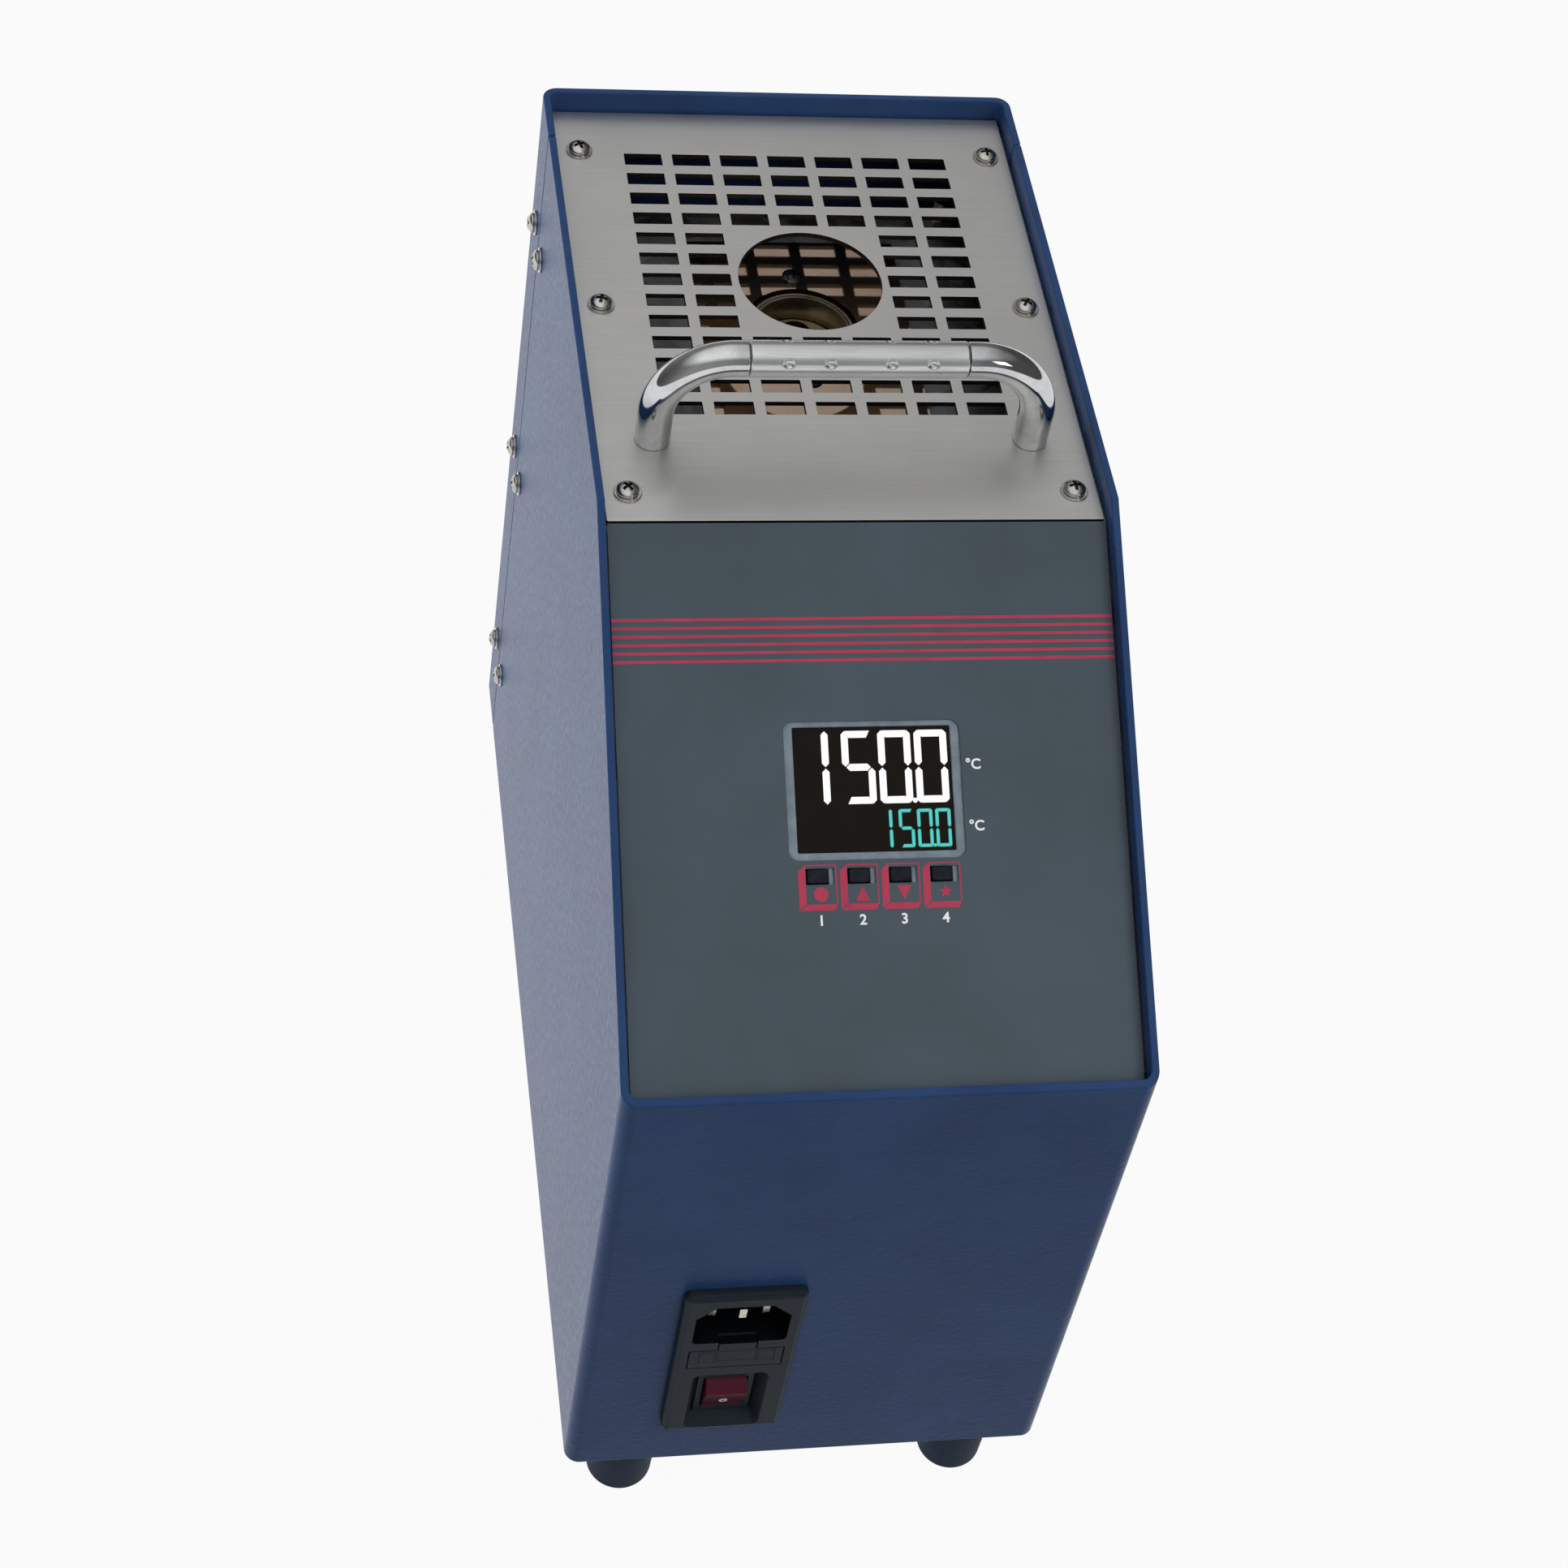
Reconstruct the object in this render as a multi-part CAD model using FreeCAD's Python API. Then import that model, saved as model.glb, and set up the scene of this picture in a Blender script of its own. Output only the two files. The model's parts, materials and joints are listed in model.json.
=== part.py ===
import FreeCAD, Part
import math
import os

# Dry-block temperature calibrator: a painted sheet case with a sloped control panel, a slotted
# stainless top with a carrying handle, and a fan-cooled vertical furnace holding a metal insert.
# Front faces -Y, +Z is up, and the origin lies on the ground under the middle of the object.

# Driving dimensions, in millimetres

# Case of bent sheet
case_width = 130.0
case_depth = 283.0
case_height = 240.0
front_height = 167.0
slope_run = 126.0
sheet = 2.0
corner_radius = 4.0
cover_flange = 20.5
seam_gap = 0.4
base_flange = 14.0
strip_overlap = 19.0
strip_end_gap = 16.0
rail_width = 10.0
rail_leg = 10.0
rail_sheet = 2.0

# Feet
foot_height = 26.0
foot_radius = 9.5
foot_taper = 0.5
foot_round = 1.5
foot_inset_x = 18.0
foot_inset_y = 13.7
foot_counterbore_radius = 4.2
foot_counterbore_depth = 18.0
foot_screw_radius = 2.0
foot_screw_head_radius = 3.6
foot_screw_head = 2.6
foot_nut_width = 7.0
foot_nut_height = 3.2

# Control panel, measured up the slope from the front edge of the rim
panel_recess = 4.0
panel_side_gap = 0.8
panel_start = 1.8
overlay_thickness = 0.5
panel_thickness = 2.0
panel_trim = 2.5
panel_screw_side = 7.0
panel_screw_start = 12.0
panel_screw_end = 14.0

# Controller behind the panel
controller_run = 70.0
controller_size = 44.4
controller_depth = 78.0
controller_wall = 2.0
controller_fit = 0.3
bezel_drop = 0.6
bezel_thickness = 2.6
screen_rise = 4.6
screen_width = 38.9
screen_height = 30.6
screen_drop = 0.5
screen_thickness = 1.8
overlay_window_width = 43.5
overlay_window_height = 33.8
overlay_window_rise = 4.3
overlay_window_radius = 2.5
clamp_width = 4.0
clamp_thickness = 8.0
board_thickness = 1.6
board_drop = 6.0

# Keys, in a row under the middle of the controller
key_drop = 16.5
key_pitch = 10.15
key_width = 5.0
key_height = 3.3
key_gap = 0.3
key_window_spare = 1.3
key_proud = 0.7
key_travel = 1.0
key_flange = 0.9
key_flange_thickness = 0.8
key_round = 0.7
key_crown_round = 0.4
key_count = 4

# Slotted top and its screws
grille_recess = 6.0
grille_thickness = 1.5
grille_edge_gap = 0.8
grille_corner_radius = 0.5
slot_columns = 7
slot_rows = 13
slot_pitch_x = 13.05
slot_pitch_y = 8.05
slot_width = 10.1
slot_depth = 4.6
well_from_rear = 70.7
access_radius = 19.05
grille_screw_side = 6.0
grille_screw_front = 9.7
grille_screw_middle = 68.0
grille_screw_rear = 16.5

# Small pan-head screws and washers
screw_radius = 1.5
screw_fit = 0.15
screw_head_radius = 2.8
screw_head_height = 2.0
screw_length = 9.0
head_edge_share = 0.4
washer_radius = 3.5
washer_thickness = 0.6
recess_length = 3.2
recess_width = 0.8
recess_depth = 1.0
side_screw_low = 33.0
side_screw_middle = 123.0
side_screw_high = 37.0
side_screw_offset = 7.8

# Handle
handle_setback = 28.5
handle_tube_radius = 4.5
handle_rise = 27.0
handle_bend = 18.0
elbow_arm = 2.6
grip_radius = 4.6
grip_bore_radius = 3.2
grip_joint_gap = 0.4
spigot_radius = 3.0
spigot_length = 8.0
dimple_radius = 1.9
dimple_depth = 0.5
dimple_places = (7.6, 18.0)
dimple_first_angle = 26.0
dimple_rows = 4
handle_screw_radius = 2.5
handle_screw_head_radius = 4.0
handle_screw_head = 3.0
handle_screw_reach = 8.0
handle_screw_clear = 0.8

# Mains inlet with fuse drawer and rocker switch
inlet_x = -25.6
inlet_z = 52.7
inlet_width = 31.6
inlet_height = 66.3
inlet_proud = 3.0
inlet_edge = 1.0
inlet_corner_radius = 2.0
inlet_body_margin = 2.2
inlet_body_depth = 34.0
inlet_fit = 0.4
socket_rise = 19.7
socket_side = 3.55
socket_height = 16.8
socket_chamfer = 5.0
socket_corner_radius = 1.5
socket_depth = 17.0
pin_width = 4.0
pin_thickness = 2.0
pin_length = 12.1
pin_spacing = 7.0
pin_drop = 1.0
earth_pin_rise = 3.0
earth_pin_extra = 3.5
pin_tail = 9.0
drawer_rise = 3.4
drawer_side = 3.6
drawer_height = 8.0
drawer_gap = 0.3
drawer_depth = 24.0
drawer_wall = 1.2
drawer_face = 3.0
tab_width = 9.7
tab_height = 3.2
tab_depth = 2.4
fuse_radius = 2.5
fuse_end_wall = 2.2
fuse_cap = 5.0
fuse_fit = 0.1
switch_drop = 19.4
switch_width = 15.0
switch_height = 19.0
switch_recess = 4.5
switch_recess_side = 2.6
switch_recess_above = 5.1
switch_recess_below = 2.6
switch_mouth_radius = 2.2
switch_bed_radius = 0.6
switch_flange = 1.0
switch_overhang = 0.6
switch_body_depth = 17.0
switch_wall = 1.4
rocker_gap = 0.3
rocker_radius = 7.4
rocker_lip_angle = 45.0
rocker_dish = 0.3
rocker_tilt = 16.5
rocker_pivot_depth = 3.2
rocker_keel = 3.0

# Fan under the furnace
fan_size = 80.0
fan_depth = 25.0
fan_corner_radius = 4.0
fan_rim = 2.0
fan_hole_inset = 4.25
fan_tip_gap = 1.2
fan_hub_radius = 18.0
fan_hub_gap = 1.0
fan_strut_width = 5.0
fan_strut_thickness = 3.0
fan_blades = 7
fan_blade_thickness = 1.6
fan_blade_chord = 20.0
fan_blade_angle = 38.0
guard_wire = 1.0
guard_ring_drop = 1.5
guard_rings = (12.0, 21.0, 30.0)
fan_screw_radius = 1.8
fan_screw_head_radius = 3.4
fan_screw_head = 2.2
fan_screw_reach = 8.0

# Furnace
furnace_lift = 21.0
can_wall = 1.0
end_plate = 2.0
end_plate_margin = 6.0
end_plate_lip = 0.5
shield_gap = 15.1
shield_width = 59.0
shield_depth = 68.6
shield_thickness = 1.5
shield_screw_offset = 20.0
shield_screw_radius = 1.6
shield_screw_head_radius = 2.8
shield_screw_head = 1.4
well_outer_radius = 14.2
well_inner_radius = 12.55
well_floor = 4.0
well_sink = 0.6
well_gap = 1.2
well_groove_width = 0.3
well_groove_depth = 0.8
insulation_floor = 12.0
heater_rod_radius = 3.0
heater_rod_count = 6
heater_rod_gap = 1.5
heater_rod_below = 6.0
heater_rod_short = 6.0
heater_rod_fit = 0.3
insert_gap = 0.4
insert_drop = 6.7
insert_chamfer = 0.8
probe_bore_radii = (4.1, 3.3, 2.6)
probe_bore_depths = (110.0, 105.0, 100.0)
probe_bore_circle = 6.6
thermocouple_radius = 1.5
thermocouple_gap = 0.6
thermocouple_below = 5.0
thermocouple_height = 90.0
thermocouple_fit = 0.3
tie_rod_radius = 2.5
tie_rod_gap = 4.5
tie_rod_above = 9.0
tie_rod_fit = 0.2
tie_nut_width = 8.0
tie_nut_height = 4.0

# Electrical pieces on the base
relay_width = 44.0
relay_depth = 58.0
relay_height = 23.0
relay_x = 30.0
relay_from_front = 70.0
relay_screw_pitch = 48.0
relay_screw_radius = 2.0
relay_screw_head_radius = 3.6
relay_screw_head = 2.4
relay_step_depth = 14.0
relay_step_drop = 8.0
terminal_width = 40.0
terminal_depth = 22.0
terminal_height = 18.0
terminal_x = -28.0
terminal_from_front = 96.0
terminal_ways = 4
terminal_hole_radius = 2.4
terminal_hole_depth = 6.0
lead_radius = 1.2
lead_bend = 5.0
lead_over_fan = 3.0
lead_rise = 12.0
lead_slack = 15.0
sensor_lead_drop = 7.0
sensor_lead_straight = 36.0

# Places worked out from the driving dimensions

z_floor = foot_height
z_base_top = z_floor + sheet
z_front = z_floor + front_height
z_rim = z_floor + case_height
y_front = -(case_depth - inlet_proud) / 2
y_rear = y_front + case_depth
half_width = case_width / 2
inner_half = half_width - sheet
inner_front = y_front + sheet
inner_rear = y_rear - sheet
inner_corner = corner_radius - sheet
y_seam = y_rear - cover_flange
y_well = y_rear - well_from_rear
slope_angle = math.degrees(math.atan2(case_height - front_height, slope_run))
slope_cos = math.cos(math.radians(slope_angle))
slope_sin = math.sin(math.radians(slope_angle))
grille_top = z_rim - grille_recess
grille_bottom = grille_top - grille_thickness
panel_back = panel_recess + overlay_thickness + panel_thickness
panel_end = (grille_top - z_front + panel_recess * slope_cos) / slope_sin
fit_radius = screw_radius + screw_fit
far = 2 * (case_width + case_depth + case_height)

quarter_turn = 90
full_turn = 360
half_circle = math.pi
hexagon_sides = 6
V = FreeCAD.Vector
UP = V(0, 0, 1)


# Helpers

def box(x_low, x_high, y_low, y_high, z_low, z_high):
    return Part.makeBox(x_high - x_low, y_high - y_low, z_high - z_low, V(x_low, y_low, z_low))


def rod(centre, radius, length, axis=UP):
    return Part.makeCylinder(radius, length, V(*centre), V(*axis))


def ring(centre, outer, inner, length, axis=UP):
    return rod(centre, outer, length, axis).cut(rod(centre, inner, length, axis))


def rounded_rectangle(x_low, x_high, y_low, y_high, radius):
    """Face in the XY plane with rounded corners, which follow each other anticlockwise."""
    centres = [V(x_high - radius, y_high - radius, 0), V(x_low + radius, y_high - radius, 0),
               V(x_low + radius, y_low + radius, 0), V(x_high - radius, y_low + radius, 0)]
    corners = []
    for index, centre in enumerate(centres):
        points = []
        for share in (0, 0.5, 1):
            angle = (index + share) * half_circle / 2
            points.append(centre + V(math.cos(angle), math.sin(angle), 0) * radius)
        corners.append(points)
    sides = []
    for points, following in zip(corners, corners[1:] + corners[:1]):
        sides.append(Part.Arc(*points).toShape())
        sides.append(Part.LineSegment(points[-1], following[0]).toShape())
    return Part.Face(Part.Wire(sides))


def rounded_plate(x_low, x_high, y_low, y_high, z_low, z_high, radius):
    face = rounded_rectangle(x_low, x_high, y_low, y_high, radius)
    face.translate(V(0, 0, z_low))
    return face.extrude(V(0, 0, z_high - z_low))


def side_prism(outline, x_low, x_high):
    """Solid from a closed outline of (y, z) points, drawn across the width."""
    corners = [V(x_low, y, z) for y, z in outline]
    wire = Part.makePolygon(corners + corners[:1])
    return Part.Face(wire).extrude(V(x_high - x_low, 0, 0))


def turned(profile):
    """Solid of revolution about Z from (radius, height) points."""
    corners = [V(radius, 0, height) for radius, height in profile]
    wire = Part.makePolygon(corners + corners[:1])
    return Part.Face(wire).revolve(V(0, 0, 0), UP, full_turn)


def placed(shape, point, axis=UP):
    """Copy of a shape drawn along +Z at the origin, moved to a point with +Z along the axis."""
    copy = shape.copy()
    copy.Placement = FreeCAD.Placement(V(*point), FreeCAD.Rotation(UP, V(*axis)))
    return copy


def on_slope(shape):
    """Moves a shape drawn as (x, run up the slope, height over the rim line) into the case."""
    moved = shape.copy()
    frame = FreeCAD.Placement(V(0, y_front, z_front), FreeCAD.Rotation(V(1, 0, 0), slope_angle))
    moved.Placement = frame.multiply(moved.Placement)
    return moved


def slope_point(run, depth):
    """(y, z) of a point a run up the slope and a depth under the rim line."""
    y = y_front + run * slope_cos + depth * slope_sin
    z = z_front + run * slope_sin - depth * slope_cos
    return y, z


def slope_run_at(height, depth):
    """Run up the slope where a line at this depth reaches a height."""
    return (height - z_front + depth * slope_cos) / slope_sin


def hexagon(width, height, bore):
    """Nut drawn over z = 0, with its width measured across the flats."""
    corner = width / (2 * math.cos(half_circle / hexagon_sides))
    corners = []
    for index in range(hexagon_sides):
        angle = 2 * half_circle * index / hexagon_sides
        corners.append(V(corner * math.cos(angle), corner * math.sin(angle), 0))
    nut = Part.Face(Part.makePolygon(corners + corners[:1])).extrude(V(0, 0, height))
    return nut.cut(rod((0, 0, 0), bore, height))


def pan_screw(radius, head_radius, head_height, length):
    """Cross-recess screw: the head stands over z = 0 and the shank hangs below it."""
    edge = head_height * head_edge_share
    rise = head_height - edge
    dome = (head_radius ** 2 + rise ** 2) / (2 * rise)
    half_angle = math.asin(head_radius / dome) / 2
    crown = V(dome * math.sin(half_angle), 0, head_height - dome + dome * math.cos(half_angle))
    corners = [V(0, 0, 0), V(head_radius, 0, 0), V(head_radius, 0, edge)]
    sides = [Part.LineSegment(corners[0], corners[1]).toShape(),
             Part.LineSegment(corners[1], corners[2]).toShape(),
             Part.Arc(corners[2], crown, V(0, 0, head_height)).toShape(),
             Part.LineSegment(V(0, 0, head_height), corners[0]).toShape()]
    head = Part.Face(Part.Wire(sides)).revolve(V(0, 0, 0), UP, full_turn)
    reach = recess_length / 2
    half = recess_width / 2
    floor = head_height - recess_depth
    head = head.cut(box(-reach, reach, -half, half, floor, head_height))
    head = head.cut(box(-half, half, -reach, reach, floor, head_height))
    return head.fuse(rod((0, 0, -length), radius, length)).removeSplitter()


def lead(points, radius, bend):
    """Round lead along straight runs joined by tangent arcs."""
    path = [V(*point) for point in points]
    edges = []
    start = path[0]
    for before, corner, after in zip(path, path[1:], path[2:]):
        inward = (corner - before).normalize()
        outward = (after - corner).normalize()
        turn = inward.getAngle(outward)
        setback = bend * math.tan(turn / 2)
        first = corner - inward * setback
        last = corner + outward * setback
        middle = (outward - inward).normalize()
        centre = corner + middle * (bend / math.cos(turn / 2))
        edges.append(Part.LineSegment(start, first).toShape())
        edges.append(Part.Arc(first, centre - middle * bend, last).toShape())
        start = last
    edges.append(Part.LineSegment(start, path[-1]).toShape())
    spine = Part.Wire(edges)
    section = Part.Wire(Part.makeCircle(radius, path[0], path[1] - path[0]))
    return spine.makePipeShell([section], True, True)


def group(shapes):
    return Part.makeCompound(shapes)


def joined(shapes):
    whole = shapes[0]
    for shape in shapes[1:]:
        whole = whole.fuse(shape)
    return whole.removeSplitter()


def without(shape, tools):
    for tool in tools:
        shape = shape.cut(tool)
    return shape


# Shared places

foot_places = []
for foot_side in (-1, 1):
    for foot_y in (y_front + foot_inset_y, y_rear - foot_inset_y):
        foot_places.append((foot_side * (half_width - foot_inset_x), foot_y))
side_screw_places = []
for side_screw_z in (z_floor + side_screw_low, z_rim - side_screw_middle, z_rim - side_screw_high):
    for side_screw_shift in (-side_screw_offset, side_screw_offset):
        side_screw_places.append((y_seam + side_screw_shift, side_screw_z))
grille_front = slope_point(panel_end, panel_recess)[0] + grille_edge_gap
grille_rear = inner_rear - grille_edge_gap
grille_side = inner_half - grille_edge_gap
grille_screw_x = grille_side - grille_screw_side
grille_screw_rows = (grille_front + grille_screw_front,
                     grille_front + grille_screw_front + grille_screw_middle,
                     grille_rear - grille_screw_rear)
grille_screw_places = [(side * grille_screw_x, y) for side in (-1, 1) for y in grille_screw_rows]
handle_y = grille_front + handle_setback
handle_x = inner_half - rail_width - handle_screw_clear - handle_screw_head_radius
grip_length = 2 * (handle_x - handle_bend - elbow_arm - grip_joint_gap)
panel_side = inner_half - panel_side_gap
panel_screw_x = inner_half - panel_screw_side
panel_screw_runs = (panel_start + panel_screw_start, panel_end - panel_screw_end)
screen_run = controller_run + screen_rise
overlay_window_run = controller_run + overlay_window_rise
key_run = controller_run - key_drop
fan_bottom = z_base_top
fan_top = fan_bottom + fan_depth
fan_bore_radius = fan_size / 2 - fan_rim
fan_hole_pitch = fan_size - 2 * fan_hole_inset
furnace_bottom = fan_top + furnace_lift
can_bottom = furnace_bottom + end_plate
shield_top = grille_bottom - shield_gap
top_plate_top = shield_top - shield_thickness
can_top = top_plate_top - end_plate
tie_rod_offset = fan_size / 2 + tie_rod_gap
end_plate_half = tie_rod_offset + end_plate_margin
can_radius = end_plate_half - end_plate_lip
tie_rod_places = [(x * tie_rod_offset, y_well + y * tie_rod_offset) for x in (-1, 1) for y in (-1, 1)]
fan_screw_places = [(x * fan_hole_pitch / 2, y_well + y * fan_hole_pitch / 2)
                    for x in (-1, 1) for y in (-1, 1)]
well_groove_radius = (well_outer_radius + well_inner_radius) / 2
heater_circle = well_outer_radius + heater_rod_gap + heater_rod_radius
chamber_radius = heater_circle + heater_rod_radius + heater_rod_gap
chamber_floor = can_bottom + insulation_floor
heater_bottom = furnace_bottom - heater_rod_below
heater_places = []
for heater_index in range(heater_rod_count):
    heater_angle = 2 * half_circle * heater_index / heater_rod_count
    heater_places.append((heater_circle * math.cos(heater_angle),
                          y_well + heater_circle * math.sin(heater_angle)))
thermocouple_circle = well_outer_radius + thermocouple_gap + thermocouple_radius
thermocouple_place = (0, y_well - thermocouple_circle)
shield_screw_places = [(0, y_well - shield_screw_offset), (0, y_well + shield_screw_offset)]
inlet_face = y_front - inlet_proud
inlet_middle = z_floor + inlet_z
socket_z = inlet_middle + socket_rise
socket_width = inlet_width - 2 * socket_side
drawer_z = inlet_middle + drawer_rise
drawer_width = inlet_width - 2 * drawer_side
fuse_length = drawer_width - 2 * fuse_end_wall
switch_z = inlet_middle - switch_drop
switch_floor = inlet_face + switch_recess
switch_face = switch_floor - switch_flange
rocker_pivot = switch_face + rocker_pivot_depth
inlet_body_half = inlet_width / 2 - inlet_body_margin
inlet_body_low = inlet_middle - inlet_height / 2 + inlet_body_margin
inlet_body_high = inlet_middle + inlet_height / 2 - inlet_body_margin
inlet_back = y_front + inlet_body_depth
terminal_y = y_front + terminal_from_front
terminal_top = z_base_top + terminal_height
terminal_pitch = terminal_width / terminal_ways
terminal_places = [terminal_x + (index - (terminal_ways - 1) / 2) * terminal_pitch
                   for index in range(terminal_ways)]
relay_y = y_front + relay_from_front
relay_screw_places = [(relay_x, relay_y + side * relay_screw_pitch / 2) for side in (-1, 1)]


# Case

def case_wall():
    """Closed wall of the case, trimmed along the sloped front."""
    outer = rounded_plate(-half_width, half_width, y_front, y_rear, z_floor, z_rim, corner_radius)
    inner = rounded_plate(-inner_half, inner_half, inner_front, inner_rear, z_floor, z_rim, inner_corner)
    rise = slope_sin / slope_cos
    ahead = y_front - sheet
    above_slope = [(ahead, z_front - sheet * rise), (y_front + slope_run, z_rim),
                   (y_front + slope_run, z_rim + sheet), (ahead, z_rim + sheet)]
    return outer.cut(inner).cut(side_prism(above_slope, -half_width - sheet, half_width + sheet))


def side_screw_holes(radius):
    return [rod((-half_width - sheet, y, z), radius, case_width + 2 * sheet, (1, 0, 0))
            for y, z in side_screw_places]


def front_shell():
    shell = case_wall().common(box(-far, far, -far, y_seam - seam_gap / 2, -far, far))
    cutout = box(inlet_x - inlet_body_half - inlet_fit, inlet_x + inlet_body_half + inlet_fit,
                 y_front - sheet, inner_front + sheet,
                 inlet_body_low - inlet_fit, inlet_body_high + inlet_fit)
    return without(shell, [cutout] + side_screw_holes(fit_radius))


def rear_cover():
    cover = case_wall().common(box(-far, far, y_seam + seam_gap / 2, far, -far, far))
    return without(cover, side_screw_holes(fit_radius))


def base_plate():
    plate = rounded_plate(-inner_half, inner_half, inner_front, inner_rear,
                          z_floor, z_base_top, corner_radius)
    flanges = []
    for side in (-1, 1):
        edges = sorted((side * inner_half, side * (inner_half - sheet)))
        flanges.append(box(edges[0], edges[1], inner_front + corner_radius, inner_rear - corner_radius,
                           z_base_top, z_floor + base_flange))
    plate = joined([plate] + flanges)
    holes = [rod((0, y_well, z_floor), fan_bore_radius, sheet)]
    for x, y in foot_places:
        holes.append(rod((x, y, z_floor), foot_screw_radius + screw_fit, sheet))
    for x, y in fan_screw_places:
        holes.append(rod((x, y, z_floor), fan_screw_radius + screw_fit, sheet))
    return without(plate, holes)


def joint_strip(side):
    """Flat strip behind the seam that both rows of side screws hold to."""
    edges = sorted((side * inner_half, side * (inner_half - rail_sheet)))
    strip = box(edges[0], edges[1], y_seam - strip_overlap, inner_rear - inner_corner,
                z_floor + strip_end_gap, grille_bottom - rail_sheet - rail_leg)
    return without(strip, side_screw_holes(fit_radius))


def support_rail(side):
    """Bent rail on the inside of a wall, under the edges of the panel and the slotted top."""
    shelf_under = panel_back + rail_sheet
    leg_under = shelf_under + rail_leg
    low_run = panel_start + panel_trim
    rear = inner_rear - inner_corner
    levels = ((panel_back, grille_bottom), (shelf_under, grille_bottom - rail_sheet),
              (leg_under, grille_bottom - rail_sheet - rail_leg))
    lines = []
    for depth, height in levels:
        bend = slope_point(slope_run_at(height, depth), depth)
        lines.append([slope_point(low_run, depth), bend, (rear, height)])
    shelf_edges = sorted((side * inner_half, side * (inner_half - rail_width)))
    leg_edges = sorted((side * inner_half, side * (inner_half - rail_sheet)))
    shelf = side_prism(lines[0] + lines[1][::-1], *shelf_edges)
    leg = side_prism(lines[1] + lines[2][::-1], *leg_edges)
    rail = joined([shelf, leg])
    holes = [rod((x, y, grille_bottom - 2 * rail_sheet), fit_radius, 2 * rail_sheet)
             for x, y in grille_screw_places]
    for run in panel_screw_runs:
        hole = rod((side * panel_screw_x, run, -shelf_under - rail_sheet), fit_radius, 2 * rail_sheet)
        holes.append(on_slope(hole))
    return without(rail, holes)


def foot():
    """Rubber foot, drawn with its sole at z = 0."""
    sole = foot_radius - foot_taper
    body = turned([(0, 0), (sole - foot_round, 0), (sole, foot_round), (foot_radius, foot_height),
                   (0, foot_height)])
    bore = rod((0, 0, 0), foot_screw_radius + screw_fit, foot_height)
    counterbore = rod((0, 0, 0), foot_counterbore_radius, foot_counterbore_depth)
    return without(body, [bore, counterbore])


def foot_screws():
    length = foot_height - foot_counterbore_depth + sheet + foot_nut_height
    screw = pan_screw(foot_screw_radius, foot_screw_head_radius, foot_screw_head, length)
    return group([placed(screw, (x, y, foot_counterbore_depth), (0, 0, -1)) for x, y in foot_places])


def foot_nuts():
    nut = hexagon(foot_nut_width, foot_nut_height, foot_screw_radius + screw_fit)
    return group([placed(nut, (x, y, z_base_top)) for x, y in foot_places])


# Slotted top, screws and handle

def top_grille():
    plate = rounded_plate(-grille_side, grille_side, grille_front, grille_rear,
                          grille_bottom, grille_top, grille_corner_radius)
    holes = [rod((0, y_well, grille_bottom), access_radius, grille_thickness)]
    middle_column = (slot_columns - 1) / 2
    middle_row = (slot_rows - 1) / 2
    for row in range(slot_rows):
        for column in range(slot_columns):
            x = (column - middle_column) * slot_pitch_x
            y = (row - middle_row) * slot_pitch_y
            beside_x = abs(x) - slot_width / 2 < access_radius
            beside_y = abs(y) - slot_depth / 2 < access_radius
            if beside_x and beside_y:
                continue
            holes.append(box(x - slot_width / 2, x + slot_width / 2,
                             y_well + y - slot_depth / 2, y_well + y + slot_depth / 2,
                             grille_bottom, grille_top))
    for x, y in grille_screw_places:
        holes.append(rod((x, y, grille_bottom), fit_radius, grille_thickness))
    for side in (-1, 1):
        holes.append(rod((side * handle_x, handle_y, grille_bottom),
                         handle_screw_radius + screw_fit, grille_thickness))
    return plate.cut(group(holes))


def washer():
    return ring((0, 0, 0), washer_radius, fit_radius, washer_thickness)


def small_screw():
    return pan_screw(screw_radius, screw_head_radius, screw_head_height, screw_length)


def screw_pattern(shape, standoff):
    """The shape at every small screw of the slotted top and both walls, standing off the sheet."""
    copies = [placed(shape, (x, y, grille_top + standoff)) for x, y in grille_screw_places]
    for side in (-1, 1):
        for y, z in side_screw_places:
            copies.append(placed(shape, (side * (half_width + standoff), y, z), (side, 0, 0)))
    return group(copies)


def handle_elbow(side):
    """Post, quarter bend and spigot of the handle."""
    bar_z = grille_top + handle_rise
    post = rod((handle_x, handle_y, grille_top), handle_tube_radius, handle_rise - handle_bend)
    section = Part.Face(Part.Wire(Part.makeCircle(handle_tube_radius,
                                                  V(handle_x, handle_y, bar_z - handle_bend), UP)))
    pivot = V(handle_x - handle_bend, handle_y, bar_z - handle_bend)
    bend = section.revolve(pivot, V(0, -1, 0), quarter_turn)
    joint_x = grip_length / 2 + grip_joint_gap
    arm = rod((joint_x, handle_y, bar_z), handle_tube_radius, elbow_arm, (1, 0, 0))
    spigot = rod((joint_x - spigot_length, handle_y, bar_z), spigot_radius, spigot_length, (1, 0, 0))
    tapping = rod((handle_x, handle_y, grille_top), handle_screw_radius + screw_fit, handle_screw_reach)
    elbow = joined([post, bend, arm, spigot]).cut(tapping)
    if side < 0:
        elbow = elbow.mirror(V(0, 0, 0), V(1, 0, 0))
    return elbow


def handle_grip():
    """Satin sleeve with rows of shallow round dimples."""
    bar_z = grille_top + handle_rise
    sleeve = ring((-grip_length / 2, handle_y, bar_z), grip_radius, grip_bore_radius, grip_length, (1, 0, 0))
    ball_offset = grip_radius + dimple_radius - dimple_depth
    dimples = []
    for row in range(dimple_rows):
        angle = math.radians(dimple_first_angle + full_turn * row / dimple_rows)
        for place in dimple_places:
            for side in (-1, 1):
                centre = V(side * place, handle_y - ball_offset * math.cos(angle),
                           bar_z + ball_offset * math.sin(angle))
                dimples.append(Part.makeSphere(dimple_radius, centre))
    return without(sleeve, dimples)


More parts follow.
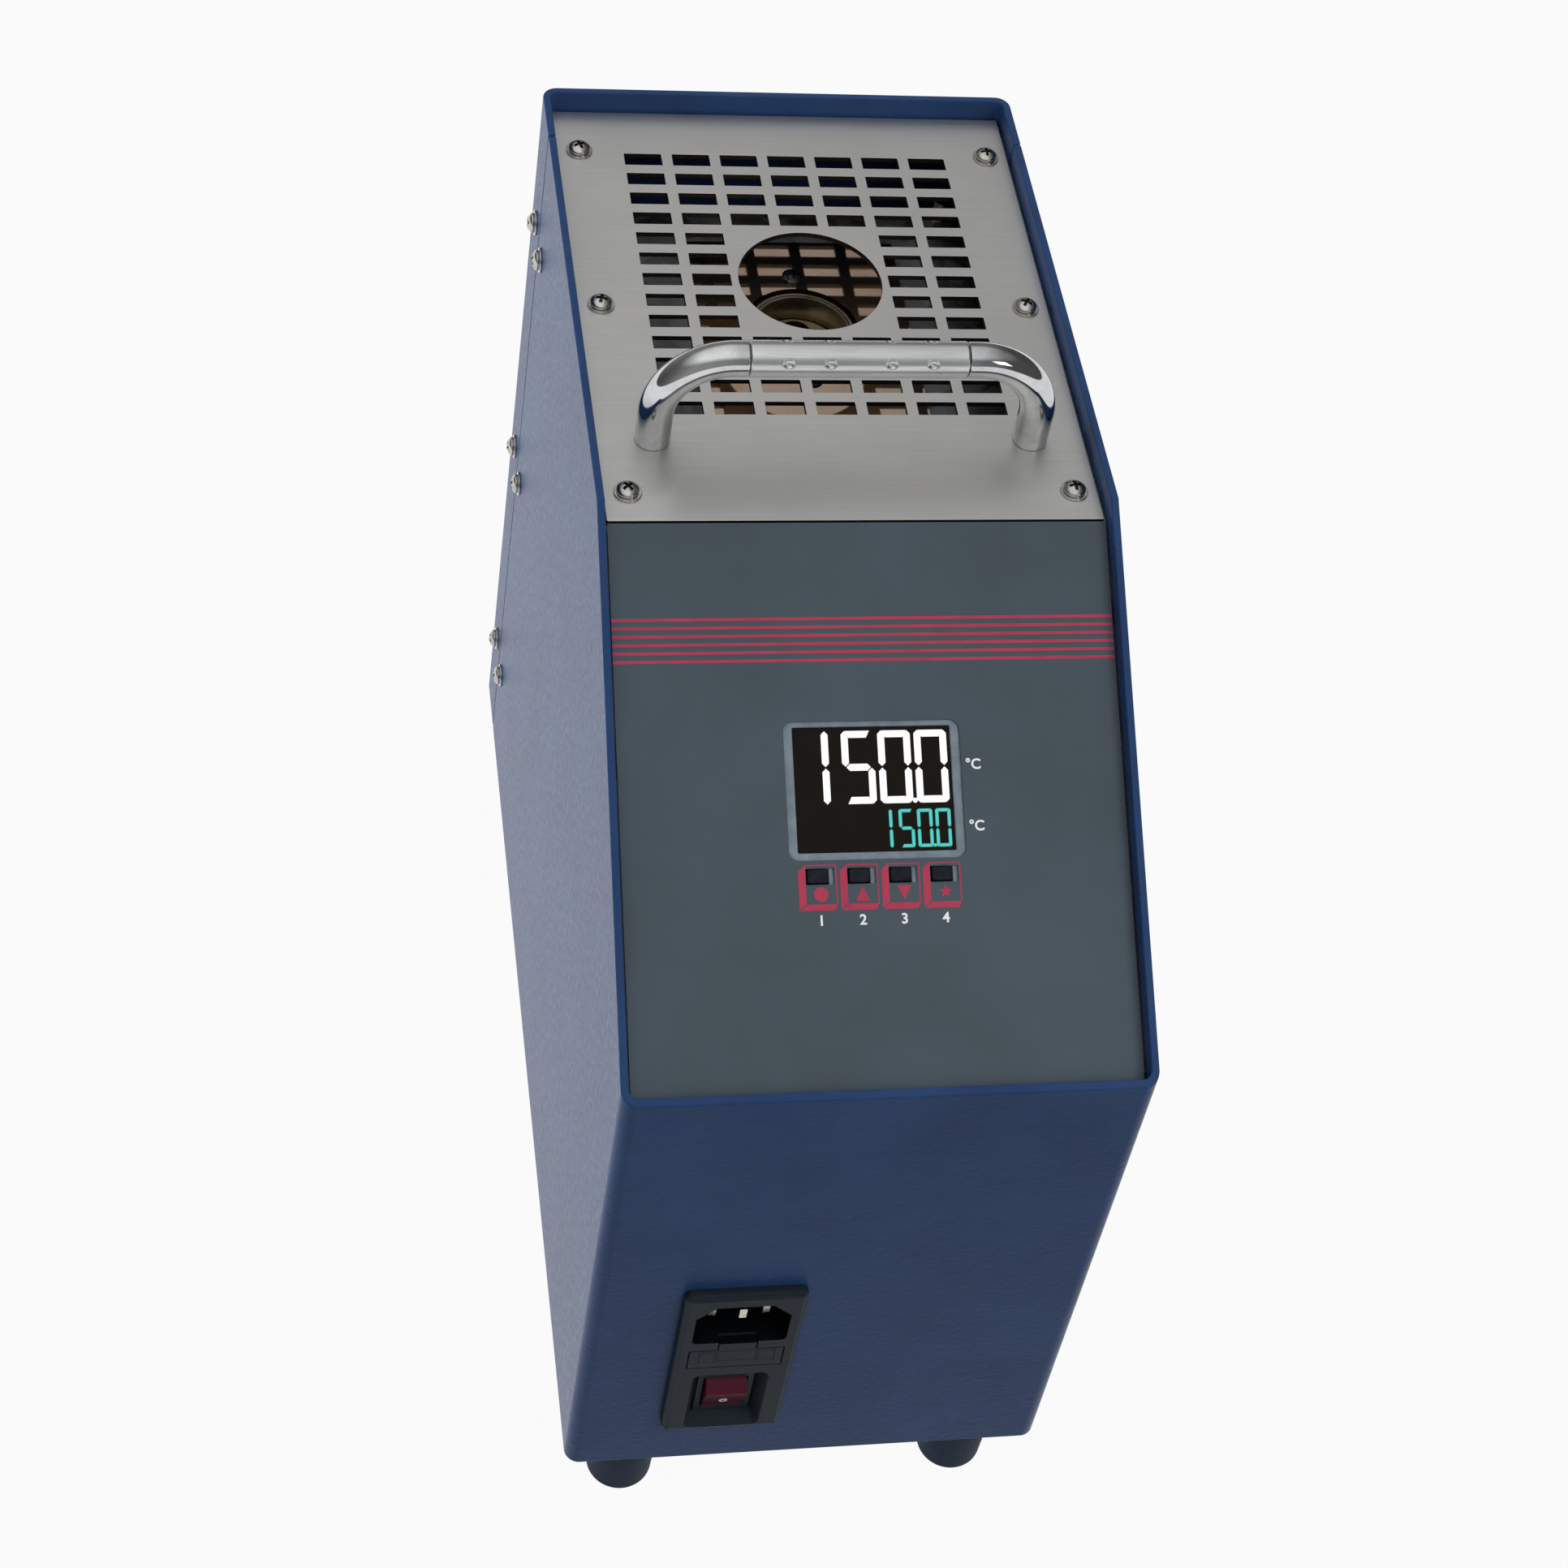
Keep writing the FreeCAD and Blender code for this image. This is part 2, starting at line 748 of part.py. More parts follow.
def handle_screws():
    length = grille_thickness + handle_screw_reach
    screw = pan_screw(handle_screw_radius, handle_screw_head_radius, handle_screw_head, length - screw_fit)
    return group([placed(screw, (side * handle_x, handle_y, grille_bottom), (0, 0, -1)) for side in (-1, 1)])


# Control panel and controller, drawn in the frame of the slope

def slope_box(x_low, x_high, run_low, run_high, top_depth, bottom_depth):
    return box(x_low, x_high, run_low, run_high, -bottom_depth, -top_depth)


def slope_square(size, run, top_depth, bottom_depth):
    return slope_box(-size / 2, size / 2, run - size / 2, run + size / 2, top_depth, bottom_depth)


key_places = [(index - (key_count - 1) / 2) * key_pitch for index in range(key_count)]
overlay_back = panel_recess + overlay_thickness
bezel_face = panel_recess + bezel_drop
bezel_back = bezel_face + bezel_thickness
screen_face = bezel_face + screen_drop
board_face = bezel_back + board_drop


def key_windows(top_depth, bottom_depth, spare=0.0):
    """Windows round the keys, longer to the right by a spare length."""
    half_x = key_width / 2 + key_gap
    half_run = key_height / 2 + key_gap
    return [slope_box(x - half_x, x + half_x + spare, key_run - half_run, key_run + half_run,
                      top_depth, bottom_depth) for x in key_places]


def panel_plate():
    plate = slope_box(-panel_side, panel_side, panel_start, panel_end - panel_trim, overlay_back, panel_back)
    opening = slope_square(controller_size + 2 * controller_fit, controller_run, overlay_back, panel_back)
    sinks = []
    for side in (-1, 1):
        for run in panel_screw_runs:
            sinks.append(rod((side * panel_screw_x, run, -panel_back), fit_radius, panel_thickness))
            sinks.append(Part.makeCone(screw_radius, screw_head_radius + screw_fit, panel_thickness,
                                       V(side * panel_screw_x, run, -panel_back)))
    return on_slope(without(plate, [opening] + sinks))


def panel_screws():
    """Countersunk screws, flush under the printed overlay."""
    screws = []
    for side in (-1, 1):
        for run in panel_screw_runs:
            head = Part.makeCone(screw_radius - screw_fit, screw_head_radius, panel_thickness,
                                 V(side * panel_screw_x, run, -panel_back))
            shank = rod((side * panel_screw_x, run, -panel_back - 2 * rail_sheet), screw_radius - screw_fit,
                        2 * rail_sheet)
            screws.append(on_slope(head.fuse(shank)))
    return group(screws)


def panel_overlay():
    film = slope_box(-panel_side, panel_side, panel_start, panel_end, panel_recess, overlay_back)
    half_x = overlay_window_width / 2
    half_run = overlay_window_height / 2
    window = rounded_plate(-half_x, half_x, overlay_window_run - half_run, overlay_window_run + half_run,
                           -overlay_back, -panel_recess, overlay_window_radius)
    windows = [window] + key_windows(panel_recess, overlay_back, key_window_spare)
    return on_slope(without(film, windows))


def screen_block(top_depth, bottom_depth):
    half_x = screen_width / 2
    half_run = screen_height / 2
    return slope_box(-half_x, half_x, screen_run - half_run, screen_run + half_run, top_depth, bottom_depth)


def controller_bezel():
    bezel = slope_square(controller_size, controller_run, bezel_face, bezel_back)
    windows = [screen_block(bezel_face, bezel_back)] + key_windows(bezel_face, bezel_back)
    return on_slope(without(bezel, windows))


def display_window():
    return on_slope(screen_block(screen_face, screen_face + screen_thickness))


def controller_housing():
    back = bezel_back + controller_depth
    inner = controller_size - 2 * controller_wall
    outer = slope_square(controller_size, controller_run, bezel_back, back)
    hollow = slope_square(inner, controller_run, bezel_back, back - controller_wall)
    return on_slope(outer.cut(hollow))


def controller_board():
    size = controller_size - 2 * controller_wall
    return on_slope(slope_square(size, controller_run, board_face, board_face + board_thickness))


def controller_clamp():
    """Frame pushed over the housing against the back of the panel."""
    inner = controller_size + 2 * controller_fit
    outer = inner + 2 * clamp_width
    frame = slope_square(outer, controller_run, panel_back, panel_back + clamp_thickness)
    return on_slope(frame.cut(slope_square(inner, controller_run, panel_back, panel_back + clamp_thickness)))


def key(x):
    """Rubber key: a cap through the windows and a flange behind the bezel."""
    half_x = key_width / 2
    half_run = key_height / 2
    face = panel_recess - key_proud
    foot_depth = bezel_back + key_gap + key_flange_thickness
    cap = rounded_plate(x - half_x, x + half_x, key_run - half_run, key_run + half_run,
                        -foot_depth, -face, key_round)
    top_edges = [edge for edge in cap.Edges if edge.BoundBox.ZMin > -face - key_round / 2]
    cap = cap.makeFillet(key_crown_round, top_edges)
    flange = slope_box(x - half_x - key_flange, x + half_x + key_flange,
                       key_run - half_run - key_flange, key_run + half_run + key_flange,
                       foot_depth - key_flange_thickness, foot_depth)
    return on_slope(joined([cap, flange]))


# Mains inlet, fuse drawer and switch

def upright_box(x_middle, width, z_middle, height, y_low, y_high):
    return box(x_middle - width / 2, x_middle + width / 2, y_low, y_high,
               z_middle - height / 2, z_middle + height / 2)


def upright_frame(x_low, x_high, z_low, z_high, y, radius):
    """Closed rectangle with rounded corners, standing in an XZ plane."""
    outline = rounded_rectangle(x_low, x_high, z_low, z_high, radius).OuterWire
    outline.Placement = FreeCAD.Placement(V(0, y, 0), FreeCAD.Rotation(V(1, 0, 0), quarter_turn))
    return outline


def socket_space():
    half = socket_width / 2
    low = socket_z - socket_height / 2
    high = socket_z + socket_height / 2
    outline = [(-half, low), (half, low), (half, high - socket_chamfer), (half - socket_chamfer, high),
               (socket_chamfer - half, high), (-half, high - socket_chamfer)]
    corners = [V(inlet_x + x, inlet_face, z) for x, z in outline]
    space = Part.Face(Part.makePolygon(corners + corners[:1])).extrude(V(0, socket_depth, 0))
    lower = [edge for edge in space.Edges
             if edge.BoundBox.YLength > socket_depth / 2 and edge.CenterOfMass.z < socket_z]
    return space.makeFillet(socket_corner_radius, lower)


def switch_pocket():
    """Drafted pocket around the switch, deepest at the frame of the switch."""
    half = switch_width / 2
    low = switch_z - switch_height / 2
    high = switch_z + switch_height / 2
    mouth = upright_frame(inlet_x - half - switch_recess_side, inlet_x + half + switch_recess_side,
                          low - switch_recess_below, high + switch_recess_above, inlet_face,
                          switch_mouth_radius)
    bed = upright_frame(inlet_x - half - drawer_gap, inlet_x + half + drawer_gap,
                        low - drawer_gap, high + drawer_gap, switch_floor, switch_bed_radius)
    return Part.makeLoft([mouth, bed], True, True)


def pull_tab(gap):
    """Tab over the drawer's front, which reaches up towards the socket; a gap widens and deepens it."""
    return box(inlet_x - tab_width / 2 - gap, inlet_x + tab_width / 2 + gap,
               inlet_face, inlet_face + tab_depth + gap, drawer_z, drawer_z + drawer_height / 2 + tab_height)


def tab_slot():
    """Room for the tab, which opens into the socket so that a plug covers it."""
    slot = pull_tab(drawer_gap).BoundBox
    return box(slot.XMin, slot.XMax, slot.YMin, slot.YMax, drawer_z, max(socket_z, slot.ZMax))


def pin_places():
    """(x, z, length) of the flat pins: line and neutral, and the longer earth pin above them."""
    return ((-pin_spacing, -pin_drop, pin_length), (pin_spacing, -pin_drop, pin_length),
            (0, earth_pin_rise, pin_length + earth_pin_extra))


def inlet_housing():
    flange = rounded_plate(inlet_x - inlet_width / 2, inlet_x + inlet_width / 2,
                           -inlet_height / 2, inlet_height / 2, 0, inlet_proud, inlet_corner_radius)
    face_edges = [edge for edge in flange.Edges if edge.BoundBox.ZMin > inlet_proud / 2]
    flange = flange.makeChamfer(inlet_edge, face_edges)
    upright = FreeCAD.Rotation(V(1, 0, 0), quarter_turn)
    flange.Placement = FreeCAD.Placement(V(0, y_front, inlet_middle), upright)
    body = box(inlet_x - inlet_body_half, inlet_x + inlet_body_half, y_front, inlet_back,
               inlet_body_low, inlet_body_high)
    cuts = [socket_space(), switch_pocket(), tab_slot()]
    cuts.append(upright_box(inlet_x, drawer_width + 2 * drawer_gap, drawer_z, drawer_height + 2 * drawer_gap,
                            inlet_face, inlet_face + drawer_depth + drawer_gap))
    cuts.append(upright_box(inlet_x, switch_width - 2 * switch_overhang,
                            switch_z, switch_height - 2 * switch_overhang, switch_floor, inlet_back))
    for x, z, length in pin_places():
        cuts.append(upright_box(inlet_x + x, pin_thickness, socket_z + z, pin_width,
                                inlet_face + socket_depth, inlet_back))
    return without(flange.fuse(body).removeSplitter(), cuts)


def inlet_pins():
    pins = []
    for x, z, length in pin_places():
        pins.append(upright_box(inlet_x + x, pin_thickness, socket_z + z, pin_width,
                                inlet_face + socket_depth - length, inlet_back + pin_tail))
    return group(pins)


def fuse_drawer():
    """Pull-out tray with a tab, which carries the fuse across its width."""
    tray = upright_box(inlet_x, drawer_width, drawer_z, drawer_height, inlet_face, inlet_face + drawer_depth)
    well = upright_box(inlet_x, fuse_length + 2 * fuse_fit, drawer_z + drawer_wall, drawer_height,
                       inlet_face + drawer_face, inlet_face + drawer_face + 2 * (fuse_radius + fuse_fit))
    spare = upright_box(inlet_x, fuse_length, drawer_z + drawer_wall, drawer_height,
                        inlet_face + 2 * drawer_face + 2 * (fuse_radius + fuse_fit),
                        inlet_face + drawer_depth - drawer_face)
    return without(joined([tray, pull_tab(0)]), [well, spare])


def fuse_link():
    """Glass cartridge fuse with its two metal caps."""
    y = inlet_face + drawer_face + fuse_radius + fuse_fit
    z = drawer_z + drawer_wall - drawer_height / 2 + fuse_radius
    start = inlet_x - fuse_length / 2
    thin = fuse_radius - 2 * fuse_fit
    glass = rod((start, y, z), thin, fuse_length, (1, 0, 0))
    caps = [rod((x, y, z), fuse_radius, fuse_cap, (1, 0, 0)) for x in (start, start + fuse_length - fuse_cap)]
    return joined([glass] + caps)


def switch_frame():
    """Snap-in body of the switch with the round seat of its rocker."""
    flange = upright_box(inlet_x, switch_width, switch_z, switch_height, switch_face, switch_floor)
    neck = 2 * (switch_overhang + inlet_fit)
    body = upright_box(inlet_x, switch_width - neck, switch_z, switch_height - neck,
                       switch_floor, switch_floor + switch_body_depth)
    width = switch_width - 2 * switch_wall - 2 * rocker_gap
    seat = rod((inlet_x - width / 2, rocker_pivot, switch_z), rocker_radius + rocker_gap, width, (1, 0, 0))
    return joined([flange, body]).cut(seat)


def power_rocker():
    """Red rocker, round about its pivot, with its lower half pressed in, as it rests."""
    half_x = (switch_width - 2 * switch_wall - 4 * rocker_gap) / 2

    def place(along, out):
        return V(inlet_x - half_x, rocker_pivot - out, switch_z + along)

    def on_rim(angle):
        turn = math.radians(angle)
        return place(rocker_radius * math.sin(turn), rocker_radius * math.cos(turn))

    lip = math.radians(rocker_lip_angle)
    middle = (rocker_lip_angle + quarter_turn) / 2
    dish = place(0, rocker_radius * math.cos(lip) - rocker_dish)
    keel = [place(side * rocker_radius / 2, -rocker_keel) for side in (1, -1)]
    sides = [Part.LineSegment(on_rim(-rocker_lip_angle), dish),
             Part.LineSegment(dish, on_rim(rocker_lip_angle)),
             Part.Arc(on_rim(rocker_lip_angle), on_rim(middle), on_rim(quarter_turn)),
             Part.LineSegment(on_rim(quarter_turn), keel[0]), Part.LineSegment(*keel),
             Part.LineSegment(keel[1], on_rim(-quarter_turn)),
             Part.Arc(on_rim(-quarter_turn), on_rim(-middle), on_rim(-rocker_lip_angle))]
    rocker = Part.Face(Part.Wire([side.toShape() for side in sides])).extrude(V(2 * half_x, 0, 0))
    rocker.rotate(V(inlet_x, rocker_pivot, switch_z), V(1, 0, 0), rocker_tilt)
    return rocker


# Fan

def fan_frame():
    half = fan_size / 2
    frame = rounded_plate(-half, half, y_well - half, y_well + half, fan_bottom, fan_top, fan_corner_radius)
    frame = frame.cut(rod((0, y_well, fan_bottom), fan_bore_radius, fan_depth))
    strut_low = fan_top - fan_strut_thickness
    struts = [rod((0, y_well, strut_low), fan_hub_radius, fan_strut_thickness)]
    for turn in (0, quarter_turn):
        strut = box(-fan_bore_radius - fan_tip_gap, fan_bore_radius + fan_tip_gap,
                    -fan_strut_width / 2, fan_strut_width / 2, strut_low, fan_top)
        strut.rotate(V(0, 0, 0), UP, turn)
        strut.translate(V(0, y_well, 0))
        struts.append(strut)
    frame = joined([frame] + struts)
    holes = [rod((x, y, fan_bottom), fan_screw_radius + screw_fit, fan_depth) for x, y in fan_screw_places]
    return without(frame, holes)


def fan_rotor():
    height = fan_depth - fan_strut_thickness - 2 * fan_hub_gap
    low = fan_bottom + fan_hub_gap
    tip = fan_bore_radius - fan_tip_gap
    root = fan_hub_radius - fan_blade_thickness
    pieces = [rod((0, 0, low), fan_hub_radius, height)]
    sweep = ring((0, 0, low), tip, root, height)
    for index in range(fan_blades):
        blade = box(root, tip + fan_tip_gap, -fan_blade_chord / 2, fan_blade_chord / 2,
                    -fan_blade_thickness / 2, fan_blade_thickness / 2)
        blade.rotate(V(0, 0, 0), V(1, 0, 0), fan_blade_angle)
        blade.translate(V(0, 0, low + height / 2))
        blade.rotate(V(0, 0, 0), UP, full_turn * index / fan_blades)
        pieces.append(blade.common(sweep))
    rotor = joined(pieces)
    rotor.translate(V(0, y_well, 0))
    return rotor


def fan_guard():
    """Wire finger guard under the base."""
    z = z_floor - guard_wire
    wires = [Part.makeTorus(radius, guard_wire, V(0, y_well, z - guard_ring_drop)) for radius in guard_rings]
    inner = guard_rings[0] - guard_wire
    for x, y in fan_screw_places:
        outward = V(x, y - y_well, 0)
        reach = outward.Length
        outward.normalize()
        start = V(0, y_well, z) + outward * inner
        wires.append(Part.makeCylinder(guard_wire, reach - inner, start, outward))
        wires.append(rod((x, y, z_floor - 2 * guard_wire), fan_screw_head_radius, 2 * guard_wire))
    guard = joined(wires)
    holes = [rod((x, y, z_floor - 2 * guard_wire), fan_screw_radius + screw_fit, 2 * guard_wire)
             for x, y in fan_screw_places]
    return without(guard, holes)


def fan_screws():
    length = 2 * guard_wire + sheet + fan_screw_reach
    screw = pan_screw(fan_screw_radius, fan_screw_head_radius, fan_screw_head, length)
    return group([placed(screw, (x, y, z_floor - 2 * guard_wire), (0, 0, -1)) for x, y in fan_screw_places])


# Furnace

def end_plate_at(z, bore):
    half = end_plate_half
    plate = box(-half, half, y_well - half, y_well + half, z, z + end_plate)
    holes = [rod((x, y, z), tie_rod_radius + tie_rod_fit, end_plate) for x, y in tie_rod_places]
    return without(plate, holes + bore)


def furnace_top_plate():
    bores = [rod((0, y_well, can_top), well_outer_radius + well_gap, end_plate)]
    for x, y in shield_screw_places:
        bores.append(rod((x, y, can_top), shield_screw_radius + screw_fit, end_plate))
    return end_plate_at(can_top, bores)


def furnace_passages(z, height):
    """Ways through the floor of the furnace for the heater rods and the sensor."""
    passages = [rod((x, y, z), heater_rod_radius + heater_rod_fit, height) for x, y in heater_places]
    passages.append(rod((*thermocouple_place, z), thermocouple_radius + thermocouple_fit, height))
    return passages


def furnace_base_plate():
    return end_plate_at(furnace_bottom, furnace_passages(furnace_bottom, end_plate))


def furnace_can():
    return ring((0, y_well, can_bottom), can_radius, can_radius - can_wall, can_top - can_bottom)


def furnace_insulation():
    """Ceramic-fibre cup between the can and the heater."""
    cup = rod((0, y_well, can_bottom), can_radius - can_wall, can_top - can_bottom)
    chamber = rod((0, y_well, chamber_floor), chamber_radius, can_top - chamber_floor)
    return without(cup, [chamber] + furnace_passages(can_bottom, insulation_floor))


def heat_shield():
    """Thin steel shield round the mouth of the well."""
    half_x = shield_width / 2
    half_y = shield_depth / 2
    sheet_piece = box(-half_x, half_x, y_well - half_y, y_well + half_y, top_plate_top, shield_top)
    holes = [rod((0, y_well, top_plate_top), well_outer_radius + well_gap, shield_thickness)]
    for x, y in shield_screw_places:
        holes.append(rod((x, y, top_plate_top), shield_screw_radius + screw_fit, shield_thickness))
    return without(sheet_piece, holes)


def shield_screws():
    length = shield_thickness + end_plate
    screw = pan_screw(shield_screw_radius, shield_screw_head_radius, shield_screw_head, length)
    return group([placed(screw, (x, y, shield_top)) for x, y in shield_screw_places])


def well_tube():
    """Closed-bottom tube whose upper rim shows in the shield."""
    top = shield_top - well_sink
    tube = rod((0, y_well, chamber_floor), well_outer_radius, top - chamber_floor)
    tube = tube.cut(rod((0, y_well, chamber_floor + well_floor), well_inner_radius, top - chamber_floor))
    groove = ring((0, y_well, top - well_groove_depth), well_groove_radius + well_groove_width / 2,
                  well_groove_radius - well_groove_width / 2, well_groove_depth)
    return tube.cut(groove)


def heater_rods():
    length = can_top - heater_rod_short - heater_bottom
    return group([rod((x, y, heater_bottom), heater_rod_radius, length) for x, y in heater_places])


def metal_insert():
    """Lift-out block with blind bores for probes of several sizes."""
    low = chamber_floor + well_floor + insert_gap
    top = shield_top - well_sink - insert_drop
    radius = well_inner_radius - insert_gap
    block = turned([(0, low), (radius - insert_chamfer, low), (radius, low + insert_chamfer),
                    (radius, top - insert_chamfer), (radius - insert_chamfer, top), (0, top)])
    block.translate(V(0, y_well, 0))
    bores = []
    for index, (bore_radius, depth) in enumerate(zip(probe_bore_radii, probe_bore_depths)):
        angle = half_circle / 2 + 2 * half_circle * index / len(probe_bore_radii)
        x = probe_bore_circle * math.cos(angle)
        y = y_well + probe_bore_circle * math.sin(angle)
        bores.append(rod((x, y, top - depth), bore_radius, depth))
    return without(block, bores)


def control_thermocouple():
    low = furnace_bottom - thermocouple_below
    length = thermocouple_below + end_plate + thermocouple_height
    return rod((*thermocouple_place, low), thermocouple_radius, length)


def tie_rods():
    return group([rod((x, y, z_base_top), tie_rod_radius, top_plate_top + tie_rod_above - z_base_top)
                  for x, y in tie_rod_places])


def tie_nuts():
    nut = hexagon(tie_nut_width, tie_nut_height, tie_rod_radius + tie_rod_fit)
    heights = (z_base_top, furnace_bottom - tie_nut_height, top_plate_top)
    return group([placed(nut, (x, y, z)) for x, y in tie_rod_places for z in heights])


# Relay, terminals and leads

def relay():
    body = upright_box(relay_x, relay_width, z_base_top + relay_height / 2, relay_height,
                       relay_y - relay_depth / 2, relay_y + relay_depth / 2)
    high = z_base_top + relay_height
    steps = []
    for side in (-1, 1):
        middle = relay_y + side * (relay_depth - relay_step_depth) / 2
        steps.append(upright_box(relay_x, relay_width, high - relay_step_drop / 2, relay_step_drop,
                                 middle - relay_step_depth / 2, middle + relay_step_depth / 2))
    holes = [rod((x, y, z_base_top), relay_screw_radius + screw_fit, relay_height)
             for x, y in relay_screw_places]
    return without(body, steps + holes)


def relay_screws():
    top = z_base_top + relay_height - relay_step_drop
    screw = pan_screw(relay_screw_radius, relay_screw_head_radius, relay_screw_head, top - z_base_top)
    return group([placed(screw, (x, y, top)) for x, y in relay_screw_places])


def terminal_block():
    block = upright_box(terminal_x, terminal_width, z_base_top + terminal_height / 2, terminal_height,
                        terminal_y - terminal_depth / 2, terminal_y + terminal_depth / 2)
    return without(block, [rod((x, terminal_y, terminal_top - terminal_hole_depth), terminal_hole_radius,
                               terminal_hole_depth) for x in terminal_places])


def power_leads():
    """Leads from the tails of the inlet to the terminals, and on to the front heater rods."""
    leads = []
    floor = terminal_top - terminal_hole_depth
    outer_terminals = (terminal_places[0], terminal_places[-1])
    for (x, z, length), terminal in zip(pin_places(), outer_terminals):
        start = (inlet_x + x, inlet_back + pin_tail, socket_z + z)
        turn = (inlet_x + x, terminal_y - 2 * lead_bend, socket_z + z)
        over = (terminal, terminal_y, socket_z + z - lead_slack)
        leads.append(lead([start, turn, over, (terminal, terminal_y, floor)], lead_radius, lead_bend))
    height = fan_top + lead_over_fan
    front = sorted(heater_places, key=lambda place: place[1])[:2]
    for terminal, (x, y) in zip(terminal_places[1:3], sorted(front)):
        leads.append(lead([(terminal, terminal_y, floor), (terminal, terminal_y, height), (x, y, height),
                           (x, y, heater_bottom)], lead_radius, lead_bend))
    return group(leads)


def sensor_lead():
    """Lead from the foot of the thermocouple to the back of the controller."""
    low = furnace_bottom - thermocouple_below
    back = bezel_back + controller_depth
    x, y = thermocouple_place
    end = slope_point(controller_run, back)
    ahead = slope_point(controller_run, back + sensor_lead_straight)
    corridor = y_well - end_plate_half - lead_rise
    level = low - sensor_lead_drop
    route = [(x, y, low), (x, y, level), (x, corridor, level), (x, corridor, ahead[1] - lead_rise),
             (0, *ahead), (0, *end)]
    return lead(route, lead_radius, lead_bend)


# All pieces, one file each

key_names = ("key_disc", "key_up", "key_down", "key_star")
foot_names = ("foot_front_left", "foot_rear_left", "foot_front_right", "foot_rear_right")
pieces = {
    "front_shell": front_shell(),
    "rear_cover": rear_cover(),
    "base_plate": base_plate(),
    "left_joint_strip": joint_strip(-1),
    "right_joint_strip": joint_strip(1),
    "left_support_rail": support_rail(-1),
    "right_support_rail": support_rail(1),
    "foot_screws": foot_screws(),
    "foot_nuts": foot_nuts(),
    "top_grille": top_grille(),
    "case_washers": screw_pattern(washer(), 0),
    "case_screws": screw_pattern(small_screw(), washer_thickness),
    "handle_elbow_left": handle_elbow(-1),
    "handle_elbow_right": handle_elbow(1),
    "handle_grip": handle_grip(),
    "handle_screws": handle_screws(),
    "panel_plate": panel_plate(),
    "panel_screws": panel_screws(),
    "panel_overlay": panel_overlay(),
    "controller_bezel": controller_bezel(),
    "display_window": display_window(),
    "controller_housing": controller_housing(),
    "controller_board": controller_board(),
    "controller_clamp": controller_clamp(),
    "inlet_housing": inlet_housing(),
    "inlet_pins": inlet_pins(),
    "fuse_drawer": fuse_drawer(),
    "fuse_link": fuse_link(),
    "switch_frame": switch_frame(),
    "power_rocker": power_rocker(),
    "fan_frame": fan_frame(),
    "fan_rotor": fan_rotor(),
    "fan_guard": fan_guard(),
    "fan_screws": fan_screws(),
    "furnace_base_plate": furnace_base_plate(),
    "furnace_can": furnace_can(),
    "furnace_insulation": furnace_insulation(),
    "furnace_top_plate": furnace_top_plate(),
    "heat_shield": heat_shield(),
    "shield_screws": shield_screws(),
    "well_tube": well_tube(),
    "heater_rods": heater_rods(),
    "metal_insert": metal_insert(),
    "control_thermocouple": control_thermocouple(),
    "tie_rods": tie_rods(),
    "tie_nuts": tie_nuts(),
    "solid_state_relay": relay(),
    "relay_screws": relay_screws(),
    "terminal_block": terminal_block(),
    "power_leads": power_leads(),
    "sensor_lead": sensor_lead(),
}
for name, place in zip(foot_names, foot_places):
    pieces[name] = placed(foot(), (*place, 0))
for name, place in zip(key_names, key_places):
    pieces[name] = key(place)

os.makedirs("parts", exist_ok=True)
for name, shape in pieces.items():
    shape.exportStep(os.path.join("parts", name + ".step"))
    print(name, "solids", len(shape.Solids), "volume", round(shape.Volume, 1), "valid", shape.isValid())
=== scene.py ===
"""Looks of a dry-block temperature calibrator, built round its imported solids.

The object is a painted sheet case with a sloped control panel, a slotted stainless top with a carrying
handle, a mains inlet low on the front, and a fan-cooled furnace inside. Lengths in the classes are in
millimetres; the frame and every mesh are in metres.
"""

import json
import logging
import math
from dataclasses import dataclass, field
from enum import Enum
from typing import Any, Callable, Iterable

import bmesh
import bpy
from mathutils import Color, Matrix, Vector


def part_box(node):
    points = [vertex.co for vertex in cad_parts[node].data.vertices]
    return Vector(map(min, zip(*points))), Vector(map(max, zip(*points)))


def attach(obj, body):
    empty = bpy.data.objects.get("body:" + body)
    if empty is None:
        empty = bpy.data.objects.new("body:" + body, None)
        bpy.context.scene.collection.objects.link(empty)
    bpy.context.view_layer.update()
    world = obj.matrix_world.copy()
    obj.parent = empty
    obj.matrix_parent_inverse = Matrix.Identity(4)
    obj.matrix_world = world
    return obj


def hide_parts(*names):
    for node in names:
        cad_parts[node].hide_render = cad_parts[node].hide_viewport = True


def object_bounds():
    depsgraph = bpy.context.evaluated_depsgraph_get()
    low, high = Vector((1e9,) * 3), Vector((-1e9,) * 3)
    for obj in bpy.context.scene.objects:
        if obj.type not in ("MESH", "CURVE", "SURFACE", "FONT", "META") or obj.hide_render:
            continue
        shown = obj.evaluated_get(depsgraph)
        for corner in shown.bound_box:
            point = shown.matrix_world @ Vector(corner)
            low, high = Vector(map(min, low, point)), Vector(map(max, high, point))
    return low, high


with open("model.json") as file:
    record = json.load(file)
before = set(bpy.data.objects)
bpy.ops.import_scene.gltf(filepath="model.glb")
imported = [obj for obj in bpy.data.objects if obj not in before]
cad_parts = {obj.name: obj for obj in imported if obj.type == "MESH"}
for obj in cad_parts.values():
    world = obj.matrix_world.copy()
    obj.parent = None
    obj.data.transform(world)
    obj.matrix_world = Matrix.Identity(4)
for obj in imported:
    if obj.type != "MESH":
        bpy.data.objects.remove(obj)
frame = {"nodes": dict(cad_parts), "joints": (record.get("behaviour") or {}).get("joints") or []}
CAD_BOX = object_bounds()

MM = 0.001
# Angles between faces: where shading breaks, where an edge gets rounded, and what is still one flat face
CREASE = math.radians(50)
SOFT_EDGE = math.radians(30)
FLAT = math.radians(0.4)
# Points closer than this many metres are one
MERGE = 1e-7
